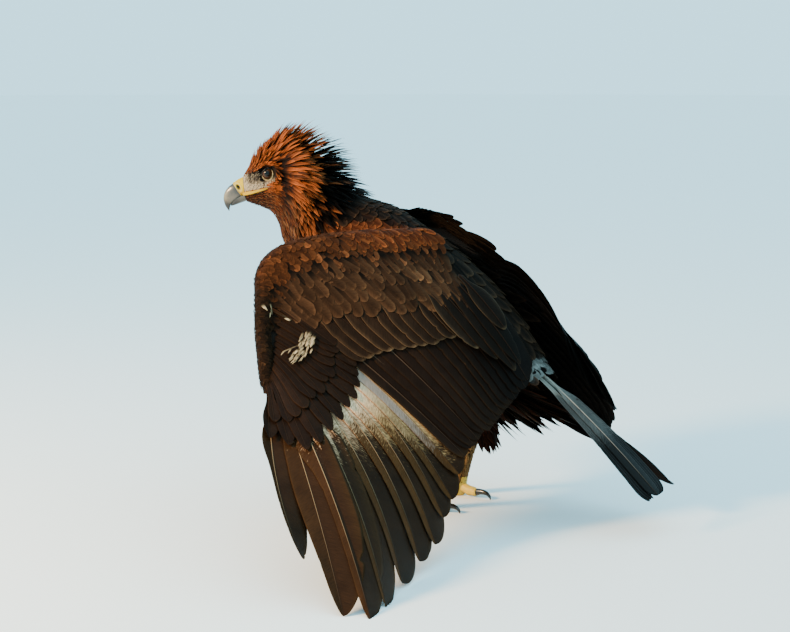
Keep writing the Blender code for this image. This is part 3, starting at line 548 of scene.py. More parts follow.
imageUp = np.array([-0.4, 0.69, 0.5])
leftSheet = Sheet(
    [0, 5, 9, 12, 14.5, 18, 24],
    [(80, 71, 381), (145, 28, 374), (196, -30, 370), (230, -89, 364), (247, -124, 344), (276, -119, 299),
     (327, -86, 238)],
    [0, 5, 10, 14, 15, 16, 17, 18, 19, 20, 21, 22, 23, 24],
    [
        (50, 200, 222), (100, 190, 184), (150, 176, 156), (186, 166, 131), (212, 168, 106),
        (246, 174, 78), (283, 182, 55), (330, 192, 34), (388, 202, 16), (462, 216, 5),
        (542, 236, 2), (600, 246, 1.2), (610, 212, 1.5), (599, 142, 68),
    ],
    ([0, 8, 14, 18, 24], [22, 22, 20, 14, 10]), (0.65, 0.45, 0.6),
    ([14, 15, 16, 17, 18, 19, 20, 21, 22, 23, 24], [0, 8, 22, 32, 36, 36, 32, 24, 12, 5, -20]), imageUp,
)
leftKeys = [0, 4, 8, 11, 13, 14.5, 18, 21, 24]
leftFronts = [(62, -100, 412), (114, -122, 425), (167, -168, 418), (208, -178, 402), (238, -174, 380),
              (258, -162, 352), (284, -141, 306), (314, -114, 262), (338, -94, 228)]
leftRidges = [(66, 10, 436), (122, -45, 434), (176, -98, 426), (214, -135, 412), (240, -148, 388),
              (256, -146, 356), (286, -130, 308), (318, -104, 264), (336, -90, 231)]
wingThick = ([0, 0.1, 0.4, 0.75, 1.0, 1.6], [1, 6, 12, 9, 5, 3])
leftDorsal = Dorsal(leftSheet, leftKeys, leftFronts, leftRidges, wingThick)
rightSheet = Sheet(
    [0, 4, 9, 12], [(-60, 34, 420), (-86, -20, 394), (-112, -84, 360), (-124, -120, 330)],
    [0, 2, 4, 6, 9, 12],
    [(-62, 262, 214), (-70, 290, 177), (-76, 298, 148), (-86, 288, 134), (-102, 252, 130), (-116, 202, 138)],
    ([0, 4, 12], [22, 28, 20]), (-0.3, 0.3, 0.9),
)
rightKeys = [0, 3, 6, 9, 12]
rightFronts = [(-40, -86, 458), (-76, -118, 434), (-104, -142, 400), (-122, -154, 362), (-130, -150, 328)]
rightRidges = [(-54, -34, 452), (-90, -76, 424), (-116, -112, 390), (-128, -138, 356), (-131, -142, 327)]
rightDorsal = Dorsal(rightSheet, rightKeys, rightFronts, rightRidges, wingThick)
rightHandSheet = Sheet(
    [0, 4.5, 9], [(-110, -98, 292), (-108, -52, 270), (-104, -8, 246)],
    [0, 3, 6, 7.5, 9],
    [(-108, 190, 140), (-100, 276, 106), (-84, 366, 66), (-78, 396, 54), (-84, 352, 66)],
    ([0, 9], [10, 6]), (-0.85, 0.1, 0.5),
)
tailSheet = Sheet(
    [-3, 3], [(14, 179, 237), (-8, 179, 237)], [-3, 3], [(38, 396, 56), (-16, 396, 56)],
    ([-3, 3], [6, 6]), (0, 0.64, 0.77),
)
print("forms ready, shift", np.round(shift, 2).tolist())


# Skin: the flesh under the coat, with the bare face

coat = {"face": 1.2, "neck": 5.0, "torso": 6.0, "legs": 5.0}


def closedForm(surface, v, around, inset):
    # Rings of a form at these stations, drawn in from it by the coat's depth
    u = circle(around)
    uu, vv = np.meshgrid(u, v)
    _, _, normal = tangents(surface, uu.ravel(), vv.ravel())
    points = surface.at(uu.ravel(), vv.ravel()) - normal * np.broadcast_to(inset, uu.shape).ravel()[:, None]
    return points.reshape(*uu.shape, 3)


def sculptFace(points):
    # The face's own shape over the head form: a hollow for each eye, a shelf of brow over it, flat lores
    # and a low ridge along the mouth
    a, b, c = np.moveaxis(headCoordinates(points), -1, 0)
    outside = smooth(np.abs(c), 6, 16)
    away = np.hypot(a + 0.8, (b - 0.7) / 1.1)
    corner = 2.0 * np.exp(-((a - 14) ** 2 / 60 + (b - 2) ** 2 / 40))
    hollow = (9.6 * smooth(away, 15.5, 8.5) + corner) * outside
    browLine = 11.6 - 0.14 * a
    brow = 4.6 * np.exp(-((b - browLine) / 2.8) ** 2) * smooth(a, 36, 24) * smooth(a, -24, -6) * outside
    lores = 2.2 * np.exp(-((a - 30) ** 2 / 110 + (b + 8) ** 2 / 90)) * outside
    cheek = 1.5 * np.exp(-((a + 6) ** 2 / 160 + (b + 22) ** 2 / 120)) * outside
    sideways = np.sign(c)[..., None] * headLeft
    return points + sideways * (brow + cheek - hollow - lores)[..., None]


class Face:
    # The head form with the sculpted face, for the feathers that lie on it

    def at(self, u, v):
        return sculptFace(headForm.at(u, v))

    def outward(self, u, v):
        return headForm.outward(u, v)


faceForm = Face()
skinTones = coloured({
    "brown": "#3d2817", "pale": "#94816b", "lores": "#463e37", "dark": "#060403", "down": "#1d130d",
})
headV = np.concatenate([np.linspace(0, 4, 90), np.linspace(4.1, 10.3, 50)])
headInset = np.interp(headV, [0, 2, 6], [1.0, coat["face"], coat["neck"]])[:, None]
headRings = sculptFace(closedForm(headForm, headV, 120, headInset))
a, b, c = np.moveaxis(headCoordinates(headRings), -1, 0)
browUnder = 12.6 - 0.14 * a
bare = smooth(a, -16, -6) * smooth(b, -28, -22) * smooth(b, browUnder + 3, browUnder)
spots = rng.normal(0, 1, a.shape)
spots = (spots + np.roll(spots, 1, 0) + np.roll(spots, 1, 1) + np.roll(spots, (1, 1), (0, 1))) / 2
loreShare = np.clip(smooth(b, -19, -5) * smooth(a, 42, 28) + 0.3 * spots, 0, 1)
loreTone = mix(skinTones["pale"], skinTones["lores"], loreShare)
# Painted shadow: a near-black band under the brow and a patch before the eye, where the brow casts its shade
shadeLine = smooth(b, browUnder - 9, browUnder - 2) * smooth(a, 36, 24)
shadowBeforeEye = smooth(a, 22, 13) * smooth(b, -13, -3)
shadowBeforeEye = shadowBeforeEye + smooth(np.hypot(a - 1, b) + spots, 15, 12) * smooth(b + a, -9, 3)
brown = smooth(a, 20, 6) * smooth(b, -7, -11) * smooth(spots, -0.6, 1.2)
loreTone = mix(loreTone, skinTones["brown"], brown)
loreTone = mix(loreTone, skinTones["dark"], np.clip(shadeLine + shadowBeforeEye, 0, 1))
headTone = mix(np.broadcast_to(skinTones["down"], headRings.shape), loreTone, bare)

# Ovals of the left leg from above down: middle, half depth and half width
legShape = {
    "thigh": [((52, -6, 300), 44, 34), ((60, -10, 262), 52, 40), ((64, 2, 214), 48, 38),
              ((64, 24, 168), 36, 29), ((63, 44, 134), 24, 20), ((62, 52, 120), 18, 16)],
    "shank": [((62, 52, 124), 17, 15), ((62, 45, 100), 14.5, 13.5), ((62, 33, 66), 13, 12.5),
              ((62, 24, 36), 13.5, 13), ((62, 20, 22), 14, 13)],
}


def legForms(part):
    # The form through a part's ovals, which lean forward, for the left and the right side
    forms = {}
    for side, word in ((1, "left"), (-1, "right")):
        middles = np.array([entry[0] for entry in legShape[part]]) * np.array([side, 1, 1])
        ups = np.array([(0, deep, deep * 0.25) for _, deep, _ in legShape[part]])
        widths = [entry[2] for entry in legShape[part]]
        forms[word] = Oval(middles + ups, middles - ups, widths, np.array([1.0, 0, 0]))
    return forms


thighs, shanks = legForms("thigh"), legForms("shank")


def wingFlesh(sheet, keys, fronts, ridges, low, high):
    # Rings about the bones of a wing: over from the front edge to the feathers' roots and back under
    u = np.linspace(low, high, 40)
    stops = np.array([keyed(keys, fronts, u), keyed(keys, ridges, u), sheet.at(u, 0.0), sheet.at(u, 0.14)])
    v = np.linspace(0, 1, 14)
    middle = np.array([keyed([0, 0.4, 0.85, 1.0], stops, np.full(len(u), part)) for part in v])
    normal = unit(np.cross(np.gradient(middle, axis=1), np.gradient(middle, axis=0)))
    normal = normal * np.where(normal @ sheet.facing < 0, -1, 1)[..., None]
    deep = np.interp(v, [0, 0.15, 0.45, 0.8, 1], [0.5, 5, 9, 6, 1])[:, None, None]
    top, bottom = middle + normal * deep, middle - normal * deep * 0.8
    return np.moveaxis(np.concatenate([top, bottom[-2:0:-1]]), 0, 1)


skinParts = [loftPiece("skin", headRings, headTone)]
downTone = skinTones["down"]
rings = [
    closedForm(torsoForm, np.linspace(-0.2, 7.2, 50), 60, coat["torso"]),
    wingFlesh(leftSheet, leftKeys, leftFronts, leftRidges, -0.6, 24.5),
    wingFlesh(rightSheet, rightKeys, rightFronts, rightRidges, 1.0, 12.4),
]
for word in ("left", "right"):
    rings.append(closedForm(thighs[word], np.linspace(0, 5.2, 30), 32, coat["legs"]))
    rings.append(closedForm(shanks[word], np.linspace(-0.3, 4, 24), 24, 3.0))
for ring in rings:
    skinParts.append(loftPiece("skinPart", ring, np.broadcast_to(downTone, ring.shape)))
bpy.context.view_layer.update()
with bpy.context.temp_override(active_object=skinParts[0], selected_editable_objects=skinParts):
    bpy.ops.object.join()
skin = skinParts[0]
place(skin, downSkin, "body_plumage", "head", "torso", "thigh_left", "thigh_right",
      "shank_left", "shank_right", "foot_left", "foot_right")
print("skin", len(skin.data.polygons))


# Eyes and lids

eyeLook = coloured({
    "pupil": 3.9, "iris": 9.6, "forward": 2.0, "down": -3.0, "shift": (-0.8, 0.7), "pupilTone": "#020202",
    "inner": "#1b0d06", "middle": "#3b200e", "outer": "#150a05", "white": "#0b0705", "lid": "#100a07",
    "lidPale": "#a8885c",
})


def eyePiece(side, word):
    # A ball whose colours run out from the pupil's axis, with a low bulge of cornea over the iris
    turn, tilt = math.radians(eyeLook["forward"]), math.radians(eyeLook["down"])
    axis = unit(headLeft * side * math.cos(turn) + headForward * math.sin(turn) - headUp * math.sin(tilt))
    first = unit(np.cross(axis, headUp))
    second = np.cross(axis, first)
    rounds, spokes = 60, 72
    angle = np.linspace(0, math.pi, rounds)[:, None]
    around = circle(spokes)[None, :]
    radius = head["eyeRadius"] - 0.3 + 0.5 * np.exp(-(angle / 0.55) ** 2)
    ray = (np.cos(angle)[..., None] * axis + np.sin(angle)[..., None]
           * (np.cos(around)[..., None] * first + np.sin(around)[..., None] * second))
    points = inHead(*eyeLook["shift"], head["eyeOut"] * side) + ray * radius[..., None]
    out = head["eyeRadius"] * np.sin(angle) * np.where(angle < math.pi / 2, 1, 10)
    out = np.broadcast_to(out, points.shape[:2])
    streak = 0.5 + 0.5 * np.sin(around * 23 + 2 * np.sin(around * 5)) * np.ones_like(out)
    pupil, iris = eyeLook["pupil"], eyeLook["iris"]
    tone = mix(eyeLook["inner"], eyeLook["middle"], smooth(out, pupil, pupil + 2.4))
    tone = mix(tone, eyeLook["outer"], smooth(out, iris - 1.4, iris))
    tone = tone * (0.82 + 0.3 * streak[..., None])
    tone = mix(tone, eyeLook["pupilTone"], smooth(out, pupil + 0.25, pupil - 0.25))
    # Beyond the iris the ball is painted near black, a painted shadow of the brow over the eye
    tone = mix(tone, eyeLook["white"], smooth(out, iris - 0.2, iris + 0.6))
    piece = newMesh("eye" + word, points, gridFaces(1, rounds, spokes, True), tone, None, 0.01)
    place(piece, eyeGloss, "eye", "eye_" + word.lower())


def lidPiece(side, word):
    # A fleshy ring about the eye, wider above and behind, that lies on the ball
    steps, sides = 72, 14
    turn = circle(steps)
    around = circle(sides)
    out = np.cos(turn)[:, None] * headForward * 0.92 + np.sin(turn)[:, None] * headUp
    reach = 9.9 + 0.6 * np.cos(2 * (turn - 1.9)) - 1.2 * smooth(np.sin(turn), 0.5, 1.0)
    # The brow cuts the ring off along a line that falls towards the bill
    reach = np.minimum(reach, 7.6 / np.maximum(np.cos(turn - 1.1), 0.3))
    centre = inHead(*eyeLook["shift"], head["eyeOut"] * side)
    depth = np.sqrt(head["eyeRadius"] ** 2 - np.minimum(reach, 10.4) ** 2) + 0.3
    middle = centre + out * reach[:, None] + headLeft * side * (depth + 1.1)[:, None]
    thick = 1.0 + 0.35 * np.sin(turn) ** 2
    ring = (middle[:, None] + out[:, None] * (np.cos(around)[None, :, None] * thick[:, None, None] * 1.25)
            + headLeft * side * (np.sin(around)[None, :, None] * thick[:, None, None] * 0.85))
    # The lid's dark skin, with a painted highlight of sunlight along its lower and rear rim
    pale = smooth(np.cos(turn + 1.85), -0.35, 0.4)
    tone = mix(eyeLook["lid"], eyeLook["lidPale"], pale)[:, None] * np.ones((1, sides, 1))
    # The ring closes on itself: its last round of points is the first one
    faces = gridFaces(1, steps + 1, sides, True)
    faces[faces >= steps * sides] -= steps * sides
    place(newMesh("lid" + word, ring, faces, tone, None, 0.001), cereSkin, "eye")


for side, word in ((1, "Left"), (-1, "Right")):
    eyePiece(side, word)
    lidPiece(side, word)
print("eyes ready")


# Bill and cere

# Sections from the root to the tip: the ridge and the edge in the head's directions, and half the width
billShape = {
    "cere": [((41.5, 3), (44.5, -24.6), 12.2), ((50, 0.9), (47.5, -25.0), 11.0),
             ((60.0, -3.6), (50.5, -25.8), 9.5)],
    "upper": [((58.5, -3.6), (48, -25.6), 8.9), ((63, -5.3), (51.5, -26.3), 9.0),
              ((67.5, -7.6), (54.5, -27.2), 8.6), ((73.7, -12.5), (59, -29.2), 7.6),
              ((78.3, -19), (64, -31.2), 6.4), ((80.6, -27), (68.5, -34.0), 4.9),
              ((80.2, -36), (72.0, -38.6), 3.0), ((77.8, -43.0), (74.4, -43.4), 1.5),
              ((76.0, -46.8), (75.2, -46.6), 0.4)],
    "lower": [((43.0, -36.4), (44.6, -25.0), 10.0), ((52, -37.6), (52.5, -26.0), 8.4),
              ((58, -38.4), (58.2, -27.6), 7.2), ((63.5, -39.2), (63.0, -29.6), 5.8),
              ((68.4, -39.6), (67.4, -32.6), 3.8), ((71.2, -39.2), (70.2, -36.2), 1.4)],
}
billLook = coloured({
    "root": "#34302b", "middle": "#575046", "pale": "#85785f", "tip": "#0d0a08", "ridge": "#2e2923",
    "lowerRoot": "#4d473e", "lowerTip": "#1d1915", "hollow": 0.1,
})


def billRings(entries, count, power=0.85):
    # Sections with an arch from edge to edge over the ridge and a slightly hollow underside
    keys = np.arange(len(entries))
    at = np.linspace(0, len(entries) - 1, count)
    ridge = keyed(keys, [entry[0] for entry in entries], at)
    edge = keyed(keys, [entry[1] for entry in entries], at)
    wide = np.maximum(keyed(keys, [[entry[2]] for entry in entries], at), 0.2)
    ridge, edge = inHead(ridge[:, 0], ridge[:, 1]), inHead(edge[:, 0], edge[:, 1])
    turn = np.linspace(0, math.pi, 30)
    arch = np.sin(turn)[None, :, None] ** power * (ridge - edge)[:, None]
    over = edge[:, None] + arch + np.cos(turn)[None, :, None] * headLeft * wide[:, None]
    back = np.linspace(-1, 1, 12)[1:-1]
    under = edge[:, None] + billLook["hollow"] * (1 - back[None, :, None] ** 2) * (ridge - edge)[:, None]
    under = under + back[None, :, None] * headLeft * wide[:, None] * 0.98
    return np.concatenate([over, under], axis=1), at / (len(entries) - 1)


rings, part = billRings(billShape["upper"], 70)
a, b, c = np.moveaxis(headCoordinates(rings), -1, 0)
part = part[:, None] * np.ones_like(a)
tone = mix(billLook["root"], billLook["middle"], smooth(part, 0.1, 0.45))
pale = smooth(part, 0.25, 0.5) * smooth(part, 0.85, 0.6) * smooth(np.abs(c), 6.5, 3)
tone = mix(tone, billLook["pale"], pale * 0.8)
tone = mix(tone, billLook["tip"], smooth(part, 0.5, 0.74))
tone = mix(tone, billLook["ridge"], smooth(np.abs(c), 2.2, 0) * 0.5)
place(loftPiece("billUpper", rings, tone), billHorn, "bill_horn", "beak_upper")
rings, part = billRings(billShape["lower"], 40)
part = part[:, None] * np.ones(rings.shape[:2])
# The lower bill's grey horn, painted darker as painted shade under the upper bill, with a dark tip
tone = mix(billLook["lowerRoot"], billLook["lowerTip"], smooth(part, 0.05, 0.6))
place(loftPiece("billLower", rings, tone), billHorn, "bill_horn", "beak_lower")

cereLook = coloured({
    "nostril": (51.6, -11.4), "long": 4.6, "wide": 2.5, "slant": 66.0, "top": "#bd9a00",
    "under": "#9a7200", "rim": "#b5a268", "front": "#8f8668", "pit": "#0d0906", "gape": "#b38a00",
    "gapeEnd": "#96690f",
})
rings, part = billRings(billShape["cere"], 60, 0.8)
a, b, c = np.moveaxis(headCoordinates(rings), -1, 0)
slant = math.radians(cereLook["slant"])
da, db = a - cereLook["nostril"][0], b - cereLook["nostril"][1]
along = (da * math.cos(slant) + db * math.sin(slant)) / cereLook["long"]
across = (-da * math.sin(slant) + db * math.cos(slant)) / cereLook["wide"]
pit = np.exp(-((along**2 + across**2) ** 1.6)) * (np.abs(c) > 3)
rim = np.exp(-(((along**2 + across**2) ** 0.5 - 1.5) / 0.35) ** 2) * (np.abs(c) > 3)
inward = -np.sign(c)[..., None] * headLeft
rings = rings + inward * (3.6 * pit - 0.5 * rim)[..., None]
lip = np.exp(-((part - 0.93) / 0.05) ** 2)[:, None, None]
middle = rings.mean(axis=1, keepdims=True)
rings = rings + unit(rings - middle) * lip * 0.5
tone = mix(cereLook["top"], cereLook["under"], smooth(b, -12, -24))
tone = mix(tone, cereLook["rim"], np.clip(rim, 0, 1) * 0.7)
tone = mix(tone, cereLook["front"], smooth(part, 0.92, 1.0)[:, None] * 0.6 * np.ones_like(a))
# The nostril's opening is painted near black, as painted shade in the hollow
tone = mix(tone, cereLook["pit"], smooth(pit, 0.25, 0.6))
place(loftPiece("cereSkin", rings, tone), cereSkin, "cere_skin", "cere")


def gapePiece(side, word):
    # The yellow flesh along the mouth, from the cere back to below the eye
    stops = np.array([(47, -24.2, 10.8), (40.5, -24.0, 15.0), (33, -24.0, 20.2), (22, -23.4, 26.0),
                      (9, -22.4, 30.2), (-5, -21.4, 32.4)])
    at = np.linspace(0, 5, 60)
    line = keyed(np.arange(6), stops, at)
    middle = inHead(line[:, 0], line[:, 1], line[:, 2] * side)
    tall = np.interp(at, [0, 1, 2.5, 4, 5], [2.2, 3.1, 2.3, 1.5, 0.3])
    turn = circle(20)
    groove = 1 - 0.35 * np.exp(-((np.sin(turn / 2 - 0.8)) / 0.14) ** 2)
    rings = (middle[:, None] + headUp * (np.cos(turn)[None, :, None] * tall[:, None, None])
             + headLeft * side * (np.sin(turn) * groove)[None, :, None] * (tall * 0.7 + 0.6)[:, None, None])
    share = smooth(at, 3, 5)[:, None] * np.ones_like(turn)
    tone = mix(cereLook["gape"], cereLook["gapeEnd"], share)
    place(loftPiece("gape" + word, rings, tone), cereSkin, "cere_skin")


gapePiece(1, "Left")
gapePiece(-1, "Right")
print("bill ready")


# Head feathers: small and flat on the face, long, pointed and raised from the crown to the nape

headLook = coloured({
    "root": "#100805", "face": "#7a3c18", "crown": "#843f17", "nape": "#763c1b", "napeShadow": "#080504",
    "throat": "#1f110a", "throatLight": "#5e3b22", "cheekDark": "#180b05", "bristle": "#2a241f",
    "bristlePale": "#b5a184",
})


def keepFace(u, v):
    # Roots that lie clear of the eye and the bare lores
    a, b, c = headCoordinates(headForm.at(u, v)).T
    ring = (((a + 0.5) / 12.8) ** 2 + (b / 12.4) ** 2 < 1) & (b < 9.8)
    jag = rng.normal(0, 1.2, len(u))
    lores = (a > np.where(b < -8, 3, 9) + jag) & (b > -20.5 + 0.5 * jag)
    lores = lores & (b < 10.6 - 0.14 * a) & (np.abs(c) > 6)
    return ~(ring | lores) | (np.abs(c) < 6)


# Outline of the raised crest seen from the side: radii about a point behind the eye, at angles in degrees
# that turn up from the back
crest = {"middle": (-40.0, 0.0), "angles": [-28, -3, 7, 22, 44, 67, 85, 98, 107, 134, 155],
         "radii": [132, 107, 98, 92, 84, 75, 72, 71, 65, 63, 69], "half": 80.0}


def toCrest(line, length, weight):
    # Lengths that bring the tips to the outline of the crest, which falls off to the sides
    root, tip = headCoordinates(line[:, 0]), headCoordinates(line[:, -1])
    back, rise = crest["middle"][0] - tip[:, 0], tip[:, 1] - crest["middle"][1]
    goal = np.interp(np.degrees(np.arctan2(rise, back)), crest["angles"], crest["radii"])
    goal = goal * np.sqrt(np.clip(1 - (tip[:, 2] / crest["half"]) ** 2, 0.2, 1))
    goal = goal * (1 + rng.normal(0, 0.04, len(tip)))
    near = np.hypot(crest["middle"][0] - root[:, 0], root[:, 1] - crest["middle"][1])
    ratio = (goal - near) / np.maximum(np.hypot(back, rise) - near, 4)
    return length * (1 + weight * (np.clip(ratio, 0.6, 1.5) - 1))


stationsV = np.concatenate([np.arange(0.12, 3.0, 0.19), np.arange(3.02, 6.0, 0.18),
                            np.arange(6.1, 10.2, 0.23)])
u, v = scatter(headForm, stationsV, -math.pi, math.pi, (2.7, 4.9), 0.4)
u = (u + math.pi) % (2 * math.pi) - math.pi
keep = keepFace(u, v)
u, v = u[keep], v[keep]
a, b, c = headCoordinates(headForm.at(u, v)).T
top = smooth(np.cos(u), -0.35, 0.75)
low = smooth(np.cos(u), -0.2, -0.9)
chance = rng.uniform(0, 1, len(u))
length = np.interp(v, [0, 1, 2, 3, 3.6, 4, 4.6, 5.2, 6, 7, 8, 10],
                   [4, 8, 12.5, 14, 18, 27, 50, 67, 70, 69, 66, 66])
length = length * (0.5 + 0.5 * top) * (0.87 + 0.22 * chance)
face = smooth(a, -24, -8) * (1 - smooth(b, 12, 24))
length = length * (1 - 0.6 * face) + 3
stand = np.interp(v, [0, 1, 2, 2.7, 3.3, 4, 5, 6, 7, 8, 9, 10],
                  [0.3, 0.5, 0.85, 0.95, 0.9, 1.0, 1.26, 1.34, 1.36, 1.28, 1.05, 0.9])
flat = np.interp(v, [2, 4], [0.25, 0.42])
stand = stand * (flat + (1 - flat) * top**1.2)
stand = (stand + rng.normal(0, 0.07, len(u))) * (1 - 0.75 * face) + 0.1
bow = 0.25 + 0.35 * top + rng.uniform(-0.1, 0.15, len(u))
bow = np.minimum(bow, stand + 0.1)
lean = rng.normal(0, 0.1, len(u)) - 0.25 * low * np.sign(u)
width = np.interp(length, [4, 10, 15, 30, 60], [0.9, 1.4, 1.8, 2.4, 3.3])
width = width * (0.85 + 0.3 * chance) * (1 - 0.2 * low)
rowsT = rowPlaces(9, 1.2)
sink = np.interp(length, [5, 12, 30], [0.3, 1.0, 2.5]) * (1 - 0.7 * low)
line, _ = raised(faceForm, u, v, length, lean, stand, bow, rowsT, sink)
length = toCrest(line, length, top * smooth(v, 1.2, 2.5) * smooth(v, 8.5, 7) * (1 - face))
line, up = raised(faceForm, u, v, length, lean, stand, bow, rowsT, sink)
half = width[:, None] * lanceBlade(rowsT, 0.55, 0.48, 1.9)[None]
tipTone = np.broadcast_to(headLook["face"], (len(u), 3))
tipTone = mix(tipTone, headLook["crown"], smooth(v, 1.5, 3.5))
tipTone = mix(tipTone, headLook["nape"], smooth(v, 4.6, 6.6))
# Painted shadow: hackle tips beyond an outline on the back of the head and the nape are painted near black,
# where the nape lies in shade
tipA, tipB, _ = headCoordinates(line[:, -1]).T
edgeA = np.interp(tipB, [-101, -71, -25, -1, 21, 60], [62, 84, 101, 107, 117, 124])
nape = smooth(-tipA, edgeA - 7, edgeA + 7) * smooth(tipB, -130, -105)
tipTone = mix(tipTone, headLook["napeShadow"], nape * np.where(chance > 0.86, 0.45, 1.0))
# The throat and the underside of the neck are darker: the throat's own dark brown, deepened by painted shade
# under the head
throat = smooth(b, -22, -34) * smooth(a, -48, -12) + smooth(np.cos(u), -0.1, -0.65) * smooth(v, 2.6, 4.5)
tipTone = mix(tipTone, headLook["throat"], np.clip(throat, 0, 1) * (0.55 + 0.45 * chance))
tipTone = mix(tipTone, headLook["throatLight"], np.clip(throat, 0, 1) * (chance > 0.72) * 0.9)
tipTone = tipTone * (0.4 + 0.95 * rng.uniform(0, 1, len(u)) ** 1.1)[:, None]
eyeAway = np.hypot((a + 0.5) / 12.2, b / 11.4)
eyeShade = smooth(eyeAway, 1.45, 1.1) * smooth(b, -2, 6) * (np.abs(c) > 12) * 0.9
tipTone = mix(tipTone, headLook["cheekDark"], eyeShade)
earLine = np.exp(-((a + 36 + 0.2 * b) / 1.6) ** 2) * smooth(b, 9, 2) * smooth(b, -18, -10) * (np.abs(c) > 12)
tipTone = mix(tipTone, headLook["cheekDark"], earLine * 0.7)
far = smooth(length, 16, 34)
fadeFrom, fadeTo = 0.1 + 0.25 * far[:, None], 0.5 + 0.3 * far[:, None]
fade = smooth(rowsT[None, :], fadeFrom, fadeTo)[..., None] * np.ones((1, 1, 5))
columns = np.array([-1, -0.45, 0, 0.45, 1.0])
dark = (1 - 0.5 * np.exp(-(columns / 0.3) ** 2))[None, None, :, None] * (1 + 0.2 * np.abs(columns))[:, None]
fade = np.maximum(fade, 0.4 * ((1 - far) * (1 - nape))[:, None, None])
tones = mix(headLook["root"], tipTone[:, None, None, :], fade) * dark
hackles, napeHackles = Rows(rowsT, columns), Rows(rowsT, columns)
bake = np.stack([u / 6.3 + 0.5, v / 10.3], -1)
for rows, part in ((hackles, v < 4.5), (napeHackles, v >= 4.5)):
    rows.add(line[part], up[part], half[part], half[part], tones[part], bake[part], 0.5, 0.4)
place(napeHackles.piece("napeHackles"), hackleVane, "hackle")

# Fine bristles over the bare skin before the eye
u, v = scatter(headForm, np.arange(0.3, 2.6, 0.11), -math.pi, math.pi, (2.4, 2.6), 0.5)
a, b, c = headCoordinates(headForm.at(u, v)).T
keep = (a > 6) & (a < 40) & (b > -21) & (b < 9.5 - 0.14 * a) & (np.hypot(a, b) > 13) & (np.abs(c) > 8)
u, v, a, b = u[keep], v[keep], a[keep], b[keep]
count = len(u)
line, up = raised(faceForm, u, v, rng.uniform(4, 7, count), rng.normal(-0.5, 0.5, count) * np.sign(u),
                  rng.uniform(0.2, 0.45, count), np.full(count, 0.3), rowsT, 0.2)
half = np.full(count, 0.42)[:, None] * lanceBlade(rowsT, 0.6, 0.3, 1.3)[None]
light = np.clip(smooth(b, -4, -18) + smooth(a, 30, 40) + rng.normal(0, 0.25, count), 0, 1)
tones = mix(headLook["bristle"], headLook["bristlePale"], light)[:, None, None]
tones = tones * np.ones((1, 9, 5, 1))
hackles.add(line, up, half, half, tones, np.stack([u / 6.3 + 0.5, v / 10.3], -1), 0.5, 0.4)
place(hackles.piece("hackles"), hackleVane, "hackle")
print("hackles", hackles.count())


# Body, thigh and shank feathers

bodyLook = coloured({
    "shadedMantle": "#080504", "shadedMantleEdge": "#1d130d", "breast": "#1a0f08", "breastEdge": "#472a15",
    "scapular": "#3d1b0b", "scapularEdge": "#854724", "long": "#0d0806", "longEdge": "#3d2a1c",
    "trousers": "#1c0b05", "trousersEdge": "#421f0e", "shank": "#6b4a2b", "shankEdge": "#8a663f",
    "vent": "#070403", "root": "#080503", "rump": "#5f5e5a",
})


def coverForm(rows, form, u, v, length, width, low, high, toneIn, toneEdge, mark, heading=0.0, wander=0.12,
              point=1.9, widest=0.62, roll=0.1):
    # Contour feathers laid on a form, darker in the middle and at the root, paler at edge and tip. Roll
    # turns each about its line, so that one edge lies over its neighbour and the other under the next.
    count = len(u)
    heading = heading + rng.normal(0, wander, count)
    t = rows.rows
    height = high * rng.uniform(0.88, 1.12, count)
    line, up = laid(form, u, v, length, heading, np.full(count, float(low)), height, t, 0.8)
    along = unit(np.gradient(line, axis=1))
    side = unit(np.cross(along, up))
    curl = (rng.normal(0, 0.04, count) * length)[:, None] * t[None] ** 2
    line = line + side * curl[..., None]
    up = unit(up + side * rng.normal(roll, 0.03, (count, 1, 1)))
    blade = roundBlade(t, 0.35, widest, point)
    fray = 1 + rng.normal(0, 0.04, (2, count, len(t))) * smooth(t, 0.4, 0.8)
    half = width[:, None] * blade[None] * rng.uniform(0.88, 1.12, (count, 1)) * fray
    tones = coverTones(rows, count, toneIn, toneEdge, mark)
    lowU, highU = u.min(), u.max() + 1e-6
    bake = np.stack([(u - lowU) / (highU - lowU), (v - v.min()) / (v.max() - v.min() + 1e-6)], -1)
    rows.add(line, up, half[0], half[1], tones, bake, 0.3, 0.7)


def coverTones(rows, count, toneIn, toneEdge, mark):
    # Colours of contour feathers over rows and columns, each feather a little lighter or darker
    t, w = rows.rows, rows.columns
    vary = np.exp(rng.normal(0, 0.26, (count, 1, 1, 1)))
    vary = vary * np.where(rng.uniform(0, 1, (count, 1, 1, 1)) > 0.92, 1.4, 1)
    edge = np.clip(smooth(np.abs(w), 0.6, 1.0)[None, :] * 0.7 + smooth(t, 0.88, 1.0)[:, None] * 0.7, 0, 1)
    base = np.broadcast_to(toneIn, (count, 3))[:, None, None, :] * vary
    rim = np.broadcast_to(toneEdge, (count, 3))[:, None, None, :] * vary
    tones = mix(base, rim, np.broadcast_to(edge * mark, (count, len(t), len(w))))
    shaft = 1 - 0.35 * np.exp(-(w / 0.2) ** 2)
    tones = tones * shaft[:, None]
    shown = np.broadcast_to(smooth(t, 0.1, 0.55)[None, :, None], tones.shape[:3])
    return mix(np.broadcast_to(bodyLook["root"], tones.shape), tones, shown)


coverT, coverW = rowPlaces(10, 1.7), np.array([-1, -0.75, 0, 0.75, 1.0])
body = Rows(coverT, coverW)
u, v = scatter(torsoForm, np.arange(-0.5, 7.0, 0.27), -math.pi, math.pi, (14, 13), 0.3)
chance = rng.uniform(0.85, 1.15, len(u))
back = smooth(np.cos(u), -0.3, 0.4)
shoulder = smooth(u - (0.8 - 0.42 * v), -0.12, 0.12) * smooth(u, 1.9, 1.5)
shoulder = shoulder * smooth(v, 3.4, 2.2) * smooth(u, 0.15, 0.35)
